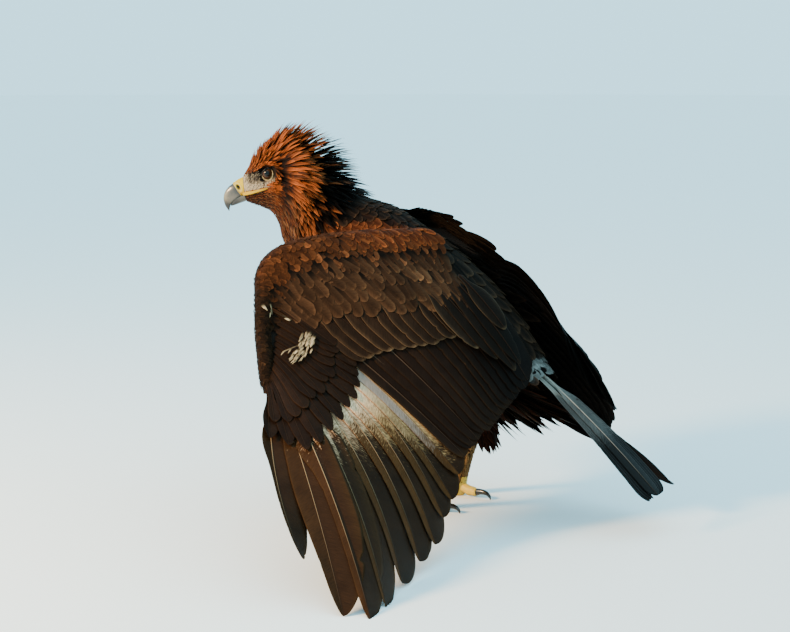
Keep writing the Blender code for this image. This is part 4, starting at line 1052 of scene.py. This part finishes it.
# The back's dark brown feathers are painted near black, as painted shade on the side turned from the light
inTone = mix(bodyLook["breast"], bodyLook["shadedMantle"], back)
edgeTone = mix(bodyLook["breastEdge"], bodyLook["shadedMantleEdge"], back)
inTone = mix(inTone, bodyLook["scapular"], shoulder)
edgeTone = mix(edgeTone, bodyLook["scapularEdge"], shoulder)
rump = smooth(v, 5.6, 6.2) * smooth(np.cos(u), 0.0, 0.5) * (chance > 0.93)
inTone, edgeTone = (mix(tone, bodyLook["rump"], rump) for tone in (inTone, edgeTone))
short = 1 - 0.35 * smooth(v, 5.2, 6.5)
coverForm(body, torsoForm, u, v, 46 * chance * short, 12 * chance * short, -2, 4.5, inTone, edgeTone, 0.8)

# The base of the neck, where its feathers pass into those of the back
u, v = scatter(headForm, np.arange(8.4, 10.3, 0.3), -math.pi, math.pi, (11, 12), 0.35)
# Its upper side takes the back's near-black painted shade
brown = smooth(np.cos(u), 0.15, -0.25)
coverForm(body, headForm, u, v, np.full(len(u), 34.0), np.full(len(u), 7.5), -1, 3.5,
          mix(bodyLook["shadedMantle"], bodyLook["breast"], brown),
          mix(bodyLook["shadedMantleEdge"], bodyLook["breastEdge"], brown), 0.8, point=1.5)

# Long shoulder feathers, over the gaps between the back and the wings
for low, high, long, tall in ((-0.3, 1.5, 38, 5), (1.5, 3.0, 62, 7), (2.8, 4.2, 80, 8), (4.0, 5.0, 88, 7)):
    wide = 9.0 if long < 50 else 13.5
    u, v = scatter(torsoForm, np.arange(low, high, 0.3 if long < 50 else 0.42), -1.3, 1.35, 1.3 * wide, 0.25)
    # Long feathers of dark brown, deepened to near black by painted shade as on the back
    rust = smooth(v, 2.4, 1.2) * smooth(u - (0.8 - 0.42 * v), -0.1, 0.1) * smooth(u, 0.1, 0.3)
    inTone = mix(bodyLook["long"], bodyLook["scapular"], rust)
    edgeTone = mix(bodyLook["longEdge"], bodyLook["scapularEdge"], rust)
    coverForm(body, torsoForm, u, v, np.full(len(u), float(long)), np.full(len(u), wide), 1.0, tall,
              inTone, edgeTone, 0.75, np.sign(u) * 0.12, 0.1, 1.7, 0.55, 0.06)


def hang(rows, form, u, v, length, width, stand, toneIn, toneEdge):
    # Long soft feathers that stand off a form at their roots and hang free
    count = len(u)
    line, up = raised(form, u, v, length, rng.normal(0, 0.16, count), stand, stand * 0.6, rows.rows, 2.0)
    half = width[:, None] * lanceBlade(rows.rows, 0.6, 0.5, 2.2)[None] * rng.uniform(0.85, 1.15, (count, 1))
    tones = coverTones(rows, count, toneIn, toneEdge, 0.7)
    bake = np.stack([(u - u.min()) / (np.ptp(u) + 1e-6), (v - v.min()) / (np.ptp(v) + 1e-6)], -1)
    rows.add(line, up, half, half, tones, bake, 0.3, 0.7)


# The long feathers on the right side carry the same painted shade
u, v = scatter(torsoForm, np.arange(-0.2, 4.4, 0.36), -1.25, -0.7, (16, 16), 0.3)
hang(body, torsoForm, u, v, rng.uniform(56, 84, len(u)), np.full(len(u), 13.0),
     rng.uniform(0.25, 0.6, len(u)), bodyLook["long"], bodyLook["longEdge"])
u, v = scatter(torsoForm, np.arange(4.2, 6.5, 0.22), [math.pi - 1.2, math.pi - 0.7],
               [math.pi + 1.2, math.pi + 0.7], (10, 8), 0.4)
hang(body, torsoForm, u, v, rng.uniform(80, 122, len(u)), np.full(len(u), 9.0),
     rng.uniform(0.35, 1.0, len(u)), bodyLook["vent"], bodyLook["trousersEdge"] * 0.7)
legs = Rows(coverT, coverW)
for word in ("left", "right"):
    u, v = scatter(thighs[word], np.arange(0.0, 5.2, 0.26), -math.pi, math.pi, (11, 7), 0.4)
    rear = smooth((thighs[word].at(u, v) - thighs[word].at(u + math.pi, v))[:, 1], 0, 30)
    long = np.interp(v, [0, 5], [50, 28]) * (1 + 0.9 * rear)
    hang(legs, thighs[word], u, v, long, np.interp(v, [0, 5], [8.5, 4.5]), 0.12 + 0.3 * rear,
         bodyLook["trousers"], bodyLook["trousersEdge"])
    u, v = scatter(shanks[word], np.arange(0.0, 4.0, 0.2), -math.pi, math.pi, (5.5, 4.5), 0.4)
    coverForm(legs, shanks[word], u, v, np.full(len(u), 17.0), np.full(len(u), 2.8), -1, 1.6,
              bodyLook["shank"], bodyLook["shankEdge"], 0.8, 0.0, 0.14, 1.5, 0.5)
place(body.piece("bodyFeathers"), bodyVane, "body_plumage")
place(legs.piece("legFeathers"), bodyVane, "body_plumage")
print("body feathers", body.count(), legs.count())


# Wing coverts

wingLook = coloured({
    "lesser": "#361b0b", "lesserEdge": "#4d2812", "median": "#2e1c10", "medianEdge": "#523622",
    "medianWarm": "#8a5c38", "greater": "#1d1109", "greaterEdge": "#785a3e", "hand": "#1a0e07",
    "handEdge": "#38220f", "remex": "#190e08", "remexEdge": "#38240f", "innerWeb": "#26160b",
    "outerWeb": "#442811", "webPale": "#5e3d24", "pale": "#c8945f", "grey": "#93796a", "white": "#f7c69c",
    "spot": "#a98f6d", "spotDark": "#8a7050", "rust": "#3d1b0b", "rustEdge": "#8a4a24",
    "inmost": "#20150d", "inmostEdge": "#7f6447", "shadowLesser": "#0b0705", "shadowLesserEdge": "#2e2017",
    "shadowRemex": "#0c0806", "shadowRemexEdge": "#20160f", "shadowGreater": "#0e0906",
    "shadowGreaterEdge": "#2a1d14",
})
# Ranks of median coverts: place on the wing, length, half width and height
medianRanks = ((0.56, 46, 11.5, 3.2), (0.62, 54, 13, 3.8), (0.68, 62, 14.5, 4.4), (0.74, 70, 16, 5.0))


def coverWing(name, dorsal, lowU, highU, left):
    # Lesser coverts in rows from the front edge back, larger towards the flight feathers, then the medians
    # The far wing is painted near black: painted shade of the wing turned from the light
    shadowTones = wingLook["shadowLesser"], wingLook["shadowLesserEdge"]
    rows = Rows(coverT, coverW)
    rowsV = np.concatenate([np.arange(0.0, 0.3, 0.034), np.arange(0.3, 0.68, 0.04)])
    u, v = scatter(dorsal, rowsV, lowU, highU, (8.5, 12.5), 0.25)
    keep = (u < np.interp(v, [0.2, 0.5], [24.3, 22.8])) & ((u < 14.4) | (v < 0.46))
    u, v = u[keep], v[keep]
    length = np.interp(v, [0, 0.3, 0.66], [17, 28, 40]) * rng.uniform(0.9, 1.1, len(u))
    width = length * np.interp(v, [0, 0.4], [0.24, 0.27])
    inTone = mix(wingLook["lesser"], wingLook["median"], smooth(v, 0.42, 0.62))
    edgeTone = mix(wingLook["lesserEdge"], wingLook["medianEdge"], smooth(v, 0.42, 0.62))
    heading = 0.05
    spread =np.where(rng.uniform(0, 1, len(u)) > 0.8, 2.0, 1.0)
    shade = (np.interp(v, [0.04, 0.2], [0.45, 1.0]) * spread)[:, None]
    inTone, edgeTone = inTone * shade, edgeTone * shade
    if left:
        onHand = smooth(u, 13, 15.5)
        heading = 0.05 + 0.15 * onHand
        length, width = length * (1 - 0.12 * onHand), width * (1 - 0.25 * onHand)
        rust = smooth(u, 6.5, 4.5) * smooth(v, 0.46, 0.36)
        inTone = mix(mix(inTone, wingLook["hand"], onHand), wingLook["rust"], rust)
        edgeTone = mix(edgeTone, wingLook["handEdge"], onHand)
        edgeTone = mix(edgeTone, wingLook["rustEdge"], rust)
        length = length * (1 + 0.7 * rust)
    else:
        inTone, edgeTone = shadowTones
    coverForm(rows, dorsal, u, v, length, width, -1.0, 1.2, inTone, edgeTone, 0.55, heading, 0.22, 1.4, 0.42)
    if left:
        # White down where coverts are missing, and the small feathers of the thumb
        spot, spotDark = wingLook["spot"], wingLook["spotDark"]
        count = 56
        part = np.linspace(0, 1, count)
        u = 15.75 + 3.6 * part + rng.normal(0, 0.08, count)
        v = 0.975 - 0.055 * part + rng.normal(0, 0.03, count) * (1 - 0.75 * part)
        wide = np.interp(part, [0, 0.3, 1], [1.7, 1.7, 1.0])
        coverForm(rows, dorsal, u, v, rng.uniform(13, 19, count), wide, 7.5, 8.6, spot, spotDark,
                  0.5, 1.2, 0.1, 1.0, 0.35)
        count = 7
        u, v = rng.uniform(15.5, 16.3, count), rng.uniform(0.33, 0.62, count)
        coverForm(rows, dorsal, u, v, rng.uniform(9, 15, count), rng.uniform(1.2, 2.0, count), 2.5, 4.0,
                  spot, spotDark, 0.8, 1.0, 0.15, 1.2, 0.4)
    medians = Rows(rowPlaces(14, 1.5), np.array([-1, -0.86, -0.4, 0, 0.4, 0.86, 1.0]))
    for rank, (station, long, wide, high) in enumerate(medianRanks):
        u = np.arange(lowU + 0.3, min(highU, 14.6), 0.72) + 0.36 * (rank % 2)
        u = u + rng.uniform(-0.08, 0.08, len(u))
        v = np.full(len(u), station) + rng.uniform(-0.01, 0.01, len(u))
        warm = rng.uniform(0, 1, len(u)) ** 3 * smooth(u, 12, 8) * smooth(u, 0, 2)
        inTone = mix(wingLook["median"], wingLook["medianEdge"], warm * 0.5)
        edgeTone = mix(wingLook["medianEdge"], wingLook["medianWarm"], warm * 0.6)
        if not left:
            inTone, edgeTone = shadowTones
        coverForm(medians, dorsal, u, v, long * rng.uniform(0.93, 1.07, len(u)), np.full(len(u), float(wide)),
                  0.3, high * 0.55, inTone, edgeTone, 0.5, 0.0, 0.13, 1.55, 0.5, 0.08)
    place(rows.piece(name + "Lesser"), bodyVane, "flight_feather")
    place(medians.piece(name + "Median"), bodyVane, "flight_feather")
    print(name, rows.count(), medians.count())


coverWing("leftCoverts", leftDorsal, -0.6, 24.4, True)
coverWing("rightCoverts", rightDorsal, -0.6, 12.4, False)


# Long feathers on their sheets

stack = {"step": 1.8, "narrow": 0.38, "cup": 0.08, "slant": 0.8}


def onSheet(rows, sheet, places, start, ends, inner, outer, lift, shapeIn, shapeOut, paint, shaft,
            tilt=1.0, free=0.2, notches=2, ragged=0.006):
    # Blades along lines of a sheet, with the lines, normals and radii for their shafts. Each web lies along
    # the way to the neighbour's line, a step above it on the outer side and a step below it on the inner,
    # so that none meets the next.
    places = np.asarray(places, float)
    count, t = len(places), rows.rows
    part = (places - places[0]) / max(places[-1] - places[0], 1e-6)
    end, wideIn, wideOut = (np.interp(part, np.linspace(0, 1, len(x)), x) for x in (ends, inner, outer))
    end = end * (1 + rng.normal(0, ragged, count))
    s = np.repeat(places[:, None], len(t), axis=1)
    v = start + (end[:, None] - start) * t[None]
    line, near, far = sheet.at(s, v), sheet.at(s - 1, v), sheet.at(s + 1, v)
    across = (far - near) / 2
    stride = np.linalg.norm(across, axis=2)
    along = unit(np.gradient(line, axis=1))
    normal = unit(np.cross(along, across))
    normal = normal * np.where(np.sum(normal * sheet.facing, axis=2) < 0, -1, 1)[..., None]
    drop = normal * stack["step"] * tilt
    ways = []
    for way in (near - line - drop, far - line + drop):
        way = way - along * np.sum(way * along, axis=2, keepdims=True)
        ways.append(unit(way))
    line = line + normal * lift
    ease = smooth(v, free, free + 0.16)
    halfIn, halfOut = wideIn[:, None] * shapeIn(t)[None], wideOut[:, None] * shapeOut(t)[None]
    notch = np.ones((2, count, len(t)))
    for _ in range(notches):
        where = rng.uniform(0.35, 0.97, (2, count, 1))
        deep = rng.uniform(0.03, 0.16, (2, count, 1))
        notch = notch - deep * np.exp(-(((t[None, None, :] - where) / 0.008) ** 2))
    narrow = stack["narrow"] * stride
    halfIn = np.minimum(narrow, halfIn) * (1 - ease) + halfIn * ease * notch[0]
    halfOut = np.minimum(narrow, halfOut) * (1 - ease) + halfOut * ease * notch[1]
    sign = 1.0 if np.sum(np.cross(along, normal) * across) > 0 else -1.0
    if sign < 0:
        halfIn, halfOut, ways = halfOut, halfIn, ways[::-1]
    tones = paint(places, t, rows.columns, sign)
    rows.add(line, normal, halfIn, halfOut, tones, np.zeros((count, 2)), stack["cup"], stack["slant"], ways)
    return line, normal, np.full((count, 1), shaft)


shaftLook = {"leftArmShafts": ("#4b382a", "#2c2018"), "leftShafts": ("#8a6f52", "#33231a"),
             "leftCovertShafts": ("#1d120b", "#281a10"), "rightShafts": ("#3c2d20", "#241a14"),
             "rightCovertShafts": ("#2a1f18", "#33261d"), "tailShafts": ("#8b857b", "#33281f")}


def shafts(name, batches, slot):
    # Tapering round shafts let into the top of each blade
    points, tones = [], []
    for line, up, wide in batches:
        along = unit(np.gradient(line, axis=1))
        side = np.cross(along, up)
        turn = circle(6)
        t = np.linspace(0, 1, line.shape[1])
        radius = wide * (1 - 0.86 * t[None]) + 0.12
        radius[:, 0] = radius[:, -1] = 0.01
        radius = radius[..., None, None]
        ring = (line[:, :, None] + side[:, :, None] * (np.cos(turn)[None, None, :, None] * radius)
                + up[:, :, None] * (0.3 + (0.25 + np.sin(turn))[None, None, :, None] * radius * 0.8))
        points.append(ring)
        shade = mix(linear(shaftLook[name][0]), linear(shaftLook[name][1]), smooth(t, 0.1, 0.95))
        tones.append(np.broadcast_to(shade[None, :, None, :], ring.shape))
    faces = gridFaces(sum(len(ring) for ring in points), points[0].shape[1], 6, True)
    place(newMesh(name, np.concatenate(points), faces, np.concatenate(tones), None, 0.03), shaftHorn, slot)


def easedShape(places, values, tip):
    # Half widths through values at places, with an oval end as long as tip
    def shape(t):
        end = np.clip((t - 1 + tip) / tip, 0, 1)
        half = keyed(places, np.array(values, float)[:, None], t)[..., 0]
        return np.maximum(half, 0.0) * np.sqrt(1 - end**2)
    return shape


secondaryIn = easedShape([0, 0.15, 0.4, 0.65, 1.0], [0.35, 0.6, 0.95, 1.0, 0.9], 0.1)
secondaryOut = easedShape([0, 0.15, 0.4, 0.65, 1.0], [0.4, 0.7, 1.0, 1.0, 0.9], 0.1)
innerIn = easedShape([0, 0.12, 0.3, 0.5, 0.8, 1.0], [0.35, 0.5, 0.8, 0.95, 1.0, 0.8], 0.12)
innerOut = easedShape([0, 0.12, 0.3, 0.5, 0.75, 1.0], [0.5, 0.8, 1.0, 0.85, 0.7, 0.55], 0.08)
primaryIn = easedShape([0, 0.12, 0.3, 0.5, 0.7, 0.85, 1.0], [0.35, 0.5, 0.8, 0.95, 1.0, 0.8, 0.5], 0.16)
ninthOut = easedShape([0, 0.2, 0.35, 0.5, 0.65, 0.85, 1.0], [0.4, 0.6, 0.85, 1.0, 0.9, 0.6, 0.4], 0.1)
primaryOut = easedShape([0, 0.12, 0.3, 0.38, 0.46, 0.56, 0.9, 1.0],
                        [0.5, 0.9, 1.0, 0.95, 0.6, 0.42, 0.36, 0.3], 0.1)
covertIn = easedShape([0, 0.3, 0.6, 1.0], [0.4, 0.75, 1.0, 0.9], 0.16)


def noiseGrid(shape, smoothing):
    # Random values on a grid, evened out with their neighbours
    value = rng.normal(0, 1, shape)
    for _ in range(smoothing):
        value = (value + np.roll(value, 1, 1) + np.roll(value, -1, 1)
                 + np.roll(value, 1, 2) + np.roll(value, -1, 2)) / 5
    return value / value.std()


def paintDark(base, edge, tipPale=0.0):
    # Dark blades, paler along the edge, and painted darker towards the body as painted shade of the inner arm
    def paint(places, t, w, sign):
        count = len(places)
        rim = smooth(np.abs(w), 0.86, 1.0)[None, :] * 0.8 + smooth(t, 0.95, 1.0)[:, None] * tipPale
        rim = np.clip(rim[None] * rng.uniform(0.05, 0.8, (count, 1, 1)), 0, 1)
        tones = mix(base, edge, rim) * rng.uniform(0.75, 1.3, (count, 1, 1, 1))
        # Painted shade: feathers near the body are painted down to a third of their tone
        tones = tones * np.interp(places, [0, 2, 7], [0.3, 0.38, 1.0])[:, None, None, None]
        return tones * (1 + 0.1 * noiseGrid((count, len(t), len(w)), 2))[..., None]
    return paint


def paintPrimary(places, t, w, sign):
    # Primaries of dark brown webs, the outer web painted lighter as lit and the inner web darker as painted
    # shade under the next feather; the inner ones have a cream and grey base, whose share of pale at each
    # point is left to the mottling of the material
    count = len(places)
    shape = (count, len(t), len(w))
    s, outer = places[:, None, None], (w * sign > 0)[None, None, :]
    # Painted light and shade: the outer web lighter as lit, the inner web darker as shaded
    outerShare = outer * (1 - 0.75 * smooth(s, 20.5, 22))
    dark = mix(wingLook["innerWeb"], wingLook["outerWeb"], outerShare)
    dark = mix(dark, wingLook["remexEdge"], smooth(np.abs(w), 0.85, 1.0)[None, None, :] * 0.7)
    dark = np.broadcast_to(dark, (*shape, 3)) * (1 + 0.08 * noiseGrid(shape, 2))[..., None]
    reach = np.interp(s, [15, 16, 17, 18, 19, 20, 21, 22, 24],
                      [0.88, 0.76, 0.66, 0.58, 0.52, 0.48, 0.44, 0.3, 0.2])
    edge = reach + np.where(outer, -0.03, 0.0) - t[None, :, None] + 0.02 * noiseGrid(shape, 1)
    amount = smooth(edge, -0.22, 0.34)
    dark = mix(dark, wingLook["webPale"], smooth(amount, 0.2, 0.75))
    paleShare = np.broadcast_to(smooth(t, 0.35, 0.6)[None, :, None], shape)
    light = mix(wingLook["white"], wingLook["pale"], paleShare)
    greyShare = smooth(s, 16.4, 15.2) * np.where(outer, 1.0, 0.0) * np.ones(shape)
    light = mix(light, wingLook["grey"], greyShare)
    tones = np.concatenate([dark, light, amount[..., None]], axis=-1)
    tones[..., :6] = tones[..., :6] * rng.uniform(0.9, 1.1, (count, 1, 1, 1))
    return tones


handIn = easedShape([0, 0.3, 0.55, 0.8, 1.0], [0.4, 0.8, 1.0, 0.85, 0.6], 0.24)
flightT = rowPlaces(60, 1.45)
flightW = np.array([-1, -0.92, -0.7, -0.4, -0.14, 0, 0.14, 0.4, 0.7, 0.92, 1.0])
remiges = Rows(flightT, flightW)
remexPaint = paintDark(wingLook["remex"], wingLook["remexEdge"], 0.3)
batch = onSheet(remiges, leftSheet, np.arange(15) + rng.uniform(-0.16, 0.16, 15), 0.03, [1.0],
                [36, 41, 41, 37], [19, 17, 15], 0.0, secondaryIn, secondaryOut, remexPaint, 0.9)
shafts("leftArmShafts", [batch], "flight_feather")
place(remiges.solidPiece("leftSecondaries", 0.45), flightVane, "flight_feather", "wing_left_arm")

# Groups of primaries: places, half widths of both webs, the webs' shapes and the shaft's radius
primaryGroups = [
    (range(15, 21), [46, 52, 58, 60], [24, 22, 20], innerIn, innerOut, 0.75),
    ([21, 22], [60, 58], [22, 21], primaryIn, primaryOut, 0.8),
    ([23], [54], [24], primaryIn, ninthOut, 0.6),
    ([24], [36], [16], primaryIn, primaryOut, 0.6),
]
primaries = Rows(flightT, flightW)
batches = []
for places, inner, outer, shapeIn, shapeOut, shaft in primaryGroups:
    batches.append(onSheet(primaries, leftSheet, places, 0.03, [1.0], inner, outer, -1.2,
                           shapeIn, shapeOut, paintPrimary, shaft))
place(primaries.solidPiece("leftPrimaries", 0.5), mottledVane, "flight_feather", "wing_left_hand")

longT = rowPlaces(30, 1.3)
longW = np.array([-1, -0.9, -0.6, -0.25, 0, 0.25, 0.6, 0.9, 1.0])
longCoverts = Rows(longT, longW)
greaterPaint = paintDark(wingLook["greater"], wingLook["greaterEdge"], 0.8)
handPaint = paintDark(wingLook["hand"], wingLook["handEdge"], 0.5)
coverBatches = [onSheet(longCoverts, leftSheet, np.arange(15), 0.02, [0.5, 0.49, 0.45], [31, 31, 28],
                        [17, 15], 5.0, covertIn, covertIn, greaterPaint, 0.6, free=0.12)]
handRanks = [(np.linspace(15.4, 24.2, 11), (0.42, 0.405, 0.41, 0.36), 4.2),
             (np.linspace(15.0, 23.8, 12), (0.3, 0.25), 7.2)]
for places, reach, lift in handRanks:
    coverBatches.append(onSheet(longCoverts, leftSheet, places, 0.02, reach, [24, 22, 18], [14, 11], lift,
                                handIn, handIn, handPaint, 0.6, free=0.12, ragged=0.02))

# The innermost feathers of the arm lie over the rest, each with its whole edge to be seen
inmostPaint = paintDark(wingLook["inmost"], wingLook["inmostEdge"], 1.0)
coverBatches.append(onSheet(longCoverts, leftSheet, [-0.9, 0.1, 1.2, 2.4, 3.6], 0.05,
                            [0.62, 0.9, 0.86, 0.74, 0.62], [20, 23, 22], [17, 18], 7.0, handIn, handIn,
                            inmostPaint, 0.8, free=0.12))
place(longCoverts.solidPiece("leftLongCoverts", 0.35), flightVane, "flight_feather")
shafts("leftShafts", batches, "flight_feather")
shafts("leftCovertShafts", coverBatches, "flight_feather")

# The right wing's feathers are painted near black, as painted shade of the wing turned from the light
right = Rows(flightT, flightW)
shadowPaint = paintDark(wingLook["shadowRemex"], wingLook["shadowRemexEdge"], 0.3)
batches = [onSheet(right, rightSheet, np.linspace(-0.6, 12, 14), 0.03, [1.0], [26, 36, 36, 30], [19, 15], 0.0,
                   secondaryIn, secondaryOut, shadowPaint, 0.8, notches=5, ragged=0.02)]
place(right.solidPiece("rightSecondaries", 0.45), flightVane, "flight_feather", "wing_right_arm")
rightHand = Rows(flightT, flightW)
shadowPaint = paintDark(wingLook["shadowRemex"], wingLook["shadowRemexEdge"])
batches.append(onSheet(rightHand, rightHandSheet, np.arange(10), 0.03, [1.0], [22, 26, 22], [13, 10], 0.0,
                       primaryIn, primaryOut, shadowPaint, 1.2, 0.7, 0.14))
place(rightHand.solidPiece("rightPrimaries", 0.5), flightVane, "flight_feather", "wing_right_hand")
rightCoverts = Rows(longT, longW)
shadowPaint = paintDark(wingLook["shadowGreater"], wingLook["shadowGreaterEdge"], 0.8)
batch = onSheet(rightCoverts, rightSheet, np.linspace(1.0, 12, 12), 0.02, [0.5, 0.46], [26, 28], [16, 14],
                5.0, covertIn, covertIn, shadowPaint, 0.6, free=0.12)
place(rightCoverts.solidPiece("rightLongCoverts", 0.35), flightVane, "flight_feather")
shafts("rightShafts", batches, "flight_feather")
shafts("rightCovertShafts", [batch], "flight_feather")
print("wings ready")


# Tail

# The tail's white base is painted grey: painted shade over its own white
tailLook = coloured({
    "pale": "#4f4a46", "dark": "#0f0b09", "white": "#8f8982", "band": 0.62,
})
tailShape = easedShape([0, 0.2, 0.5, 0.8, 1.0], [0.4, 0.6, 0.85, 1.0, 0.95], 0.08)


def paintTail(places, t, w, sign):
    # White-based vanes painted down to grey as painted shade, with a dark end, mottled by the material where
    # they meet
    shape = (len(places), len(t), len(w))
    amount = np.broadcast_to(smooth(t, tailLook["band"] + 0.12, tailLook["band"] - 0.2)[None, :, None], shape)
    paleShare = np.broadcast_to(smooth(t, 0.0, 0.35)[None, :, None], shape)
    light = mix(tailLook["white"], tailLook["pale"], paleShare)
    light = light * (1 + 0.1 * noiseGrid(shape, 2))[..., None] * rng.uniform(0.85, 1.1)
    dark = np.broadcast_to(tailLook["dark"], (*shape, 3))
    return np.concatenate([dark, light, amount[..., None] * 0.95], axis=-1)


tail = Rows(flightT, flightW)
batches = []
for s, sideTilt in ((1, 0.8), (2, 0.8), (3, 0.8), (-1, -0.8), (-2, -0.8), (-3, -0.8), (0, 0.0)):
    # The web towards the middle is the narrower one; the middle feather lies over the rest
    under, lift = (6 * abs(s), 0.0) if s else (22, 4.6)
    wideIn, wideOut = (under, 22) if s > 0 else (22, under)
    batches.append(onSheet(tail, tailSheet, [s], 0.02, [1.0], [wideIn], [wideOut], lift,
                           tailShape, tailShape, paintTail, 1.1, sideTilt, 0.16))
place(tail.solidPiece("tailFeathers", 0.5), mottledVane, "tail_feather", "tail")
shafts("tailShafts", batches, "tail_feather")


# Toes and claws

# Each toe's turn in degrees from straight ahead, its length and its claw's
footLook = coloured({
    "toes": {"inner": (38, 42, 36), "middle": (4, 62, 32), "outer": (-40, 46, 28), "hind": (172, 34, 46)},
    "scute": "#d3ac35", "crease": "#a07a22", "pad": "#9c8440", "sole": "#c49f33", "claw": "#14110f",
})
# Ovals of the foot from above down: middle, half depth and half width
soleShape = [((62, 24, 32), 13, 12.5), ((62, 20, 22), 15, 14), ((62, 17, 11), 16.5, 15.5),
             ((62, 17, 3), 15, 14), ((62, 17, 0), 12, 11)]


def footPieces(side, word):
    # Toes as lofts along the floor with a pad below and a row of scutes above, and a claw at each end
    upward = np.array([0, 0, 1.0])
    toes = []
    for toe, (turn, long, claw) in footLook["toes"].items():
        angle = math.radians(turn) * side
        ahead = np.array([-math.sin(angle), -math.cos(angle), 0])
        aside = np.array([ahead[1], -ahead[0], 0])
        start = np.array([62 * side, 18, 0]) + ahead * 6
        t = np.linspace(0, 1, 60)
        around = circle(24)
        rise = np.interp(t, [0, 0.3, 0.55, 0.8, 1.0], [14, 12.5, 10, 9.2, 8.6])
        wide = np.interp(t, [0, 0.3, 0.55, 0.8, 0.93, 1.0], [8.3, 8.2, 7.8, 7.8, 6.6, 5.6])
        pads = 1 + 0.07 * np.sin(t * long / 15 * 2 * math.pi)
        scute = 0.45 * np.abs(np.sin(t * long / 3.4 * math.pi)) ** 0.5
        upPart = np.clip(np.cos(around), 0, 1)[None, :]
        size = wide[:, None] * (pads[:, None] * (1 - upPart) + upPart) + scute[:, None] * upPart**0.5
        line = start + ahead * (long * t)[:, None, None]
        ring = (line + upward * (rise[:, None] + np.cos(around)[None] * size)[..., None]
                + aside * (np.sin(around)[None] * size)[..., None])
        ring[..., 2] = np.maximum(ring[..., 2], 0.0)
        crease = smooth(0.45 - scute, 0.2, 0.45)[:, None] * upPart
        shade = mix(footLook["scute"], footLook["crease"], crease)
        under = smooth(np.cos(around), -0.2, -0.9)[None, :] * np.ones((len(t), 1))
        toes.append((ring, mix(shade, footLook["pad"], under)))
        part = np.linspace(0, 1, 40)
        turned = np.radians(105 * part)
        base = start + ahead * (long + 0.3)
        middle = base + ahead * (claw * 0.58 * np.sin(turned * 0.86))[:, None]
        middle = middle + upward * (9.6 + 2.2 * np.sin(turned * 2) - 8.4 * part**2)[:, None]
        size = (5.0 * (1 - part) ** 0.7 + 0.28)[:, None, None]
        over = upward * np.cos(turned * 0.7)[:, None] + ahead * np.sin(turned * 0.7)[:, None]
        around = circle(20)[None, :, None]
        rings = (middle[:, None] + over[:, None] * (np.cos(around) * size * 1.12)
                 + aside * (np.sin(around) * size))
        rings[..., 2] = np.maximum(rings[..., 2], 0.0)
        shade = np.broadcast_to(footLook["claw"], rings.shape)
        node = "talon_%s_%s" % (word, toe)
        place(loftPiece("claw" + word.title() + toe.title(), rings, shade), clawHorn, "claw_horn", node)
    parts = [loftPiece("toes" + word.title(), ring, shade) for ring, shade in toes]
    around = circle(30)[:, None]
    rings = []
    for middle, deep, wide in soleShape:
        ring = np.array(middle) * [side, 1, 1] + np.cos(around) * np.array([0, deep, 0])
        rings.append(ring + np.sin(around) * np.array([wide, 0, 0]))
    rings = keyed(np.arange(5), np.array(rings).reshape(5, -1), np.linspace(0, 4, 30)).reshape(30, 30, 3)
    rings[..., 2] = np.maximum(rings[..., 2], 0.0)
    parts.append(loftPiece("sole", rings, np.broadcast_to(footLook["sole"], rings.shape)))
    with bpy.context.temp_override(active_object=parts[0], selected_editable_objects=parts):
        bpy.ops.object.join()
    place(parts[0], toeSkin, "toe_skin")


footPieces(1, "left")
footPieces(-1, "right")
print("feet ready")


# Floor, light and camera

studio = {"floor": "#f9f9f8", "sky": "#a6ddf0", "skyStrength": 2.45, "sun": "#ffd6a0", "sunPower": 235.0,
          "fill": "#e8f2ff", "fillPower": 4.0}
bpy.ops.mesh.primitive_circle_add(vertices=128, radius=30, fill_type="NGON", location=(0, 0, 0))
floor = bpy.context.object
floor.name = "floor"
material, _, _ = newMaterial("matt_backdrop_paint", {
    "Base Color": (*linear(studio["floor"]), 1), "Roughness": 0.95, "Specular IOR Level": 0.1})
floor.data.materials.append(material)

world = bpy.data.worlds.new("studio")
world.use_nodes = True
background = world.node_tree.nodes["Background"]
background.inputs["Color"].default_value = (*linear(studio["sky"]), 1)
background.inputs["Strength"].default_value = studio["skyStrength"]
bpy.context.scene.world = world

birdMiddle = toFrame([60, -20, 300])
towards, rightward = np.array([0.866, 0.5, 0]), np.array([-0.5, 0.866, 0])
above = np.array([0, 0, 0.5])


def areaLight(name, direction, distance, size, power, colour):
    # A round lamp that faces the bird from this distance
    light = bpy.data.lights.new(name, "AREA")
    light.shape, light.size, light.energy, light.color = "DISK", size, power, tuple(linear(colour))
    obj = bpy.data.objects.new(name, light)
    bpy.context.scene.collection.objects.link(obj)
    where = birdMiddle + unit(np.array(direction, float)) * distance
    obj.location = where
    obj.rotation_euler = Vector(birdMiddle - where).to_track_quat("-Z", "Y").to_euler()


areaLight("keyLight", -rightward * 0.85 + towards * 0.42 + above, 3.2, 0.7, studio["sunPower"], studio["sun"])
areaLight("fillLight", towards * 0.9 + above, 3.6, 2.4, studio["fillPower"], studio["fill"])

view = {"width": 790, "mmPerPixel": 1.6, "distance": 3000.0, "elevation": 8.0, "azimuth": 30.0,
        "aim": (28, -48, 302.4), "sensor": 36.0}
camera = bpy.data.objects.new("camera", bpy.data.cameras.new("camera"))
bpy.context.scene.collection.objects.link(camera)
camera.data.sensor_width = view["sensor"]
camera.data.lens = view["sensor"] * view["distance"] / (view["width"] * view["mmPerPixel"])
rise, turn = math.radians(view["elevation"]), math.radians(view["azimuth"])
back = np.array([math.cos(turn) * math.cos(rise), math.sin(turn) * math.cos(rise), math.sin(rise)])
camera.location = toFrame(np.array(view["aim"]) + back * view["distance"])
camera.rotation_euler = Vector(-back).to_track_quat("-Z", "Y").to_euler()
camera.data.clip_end = 100
bpy.context.scene.camera = camera
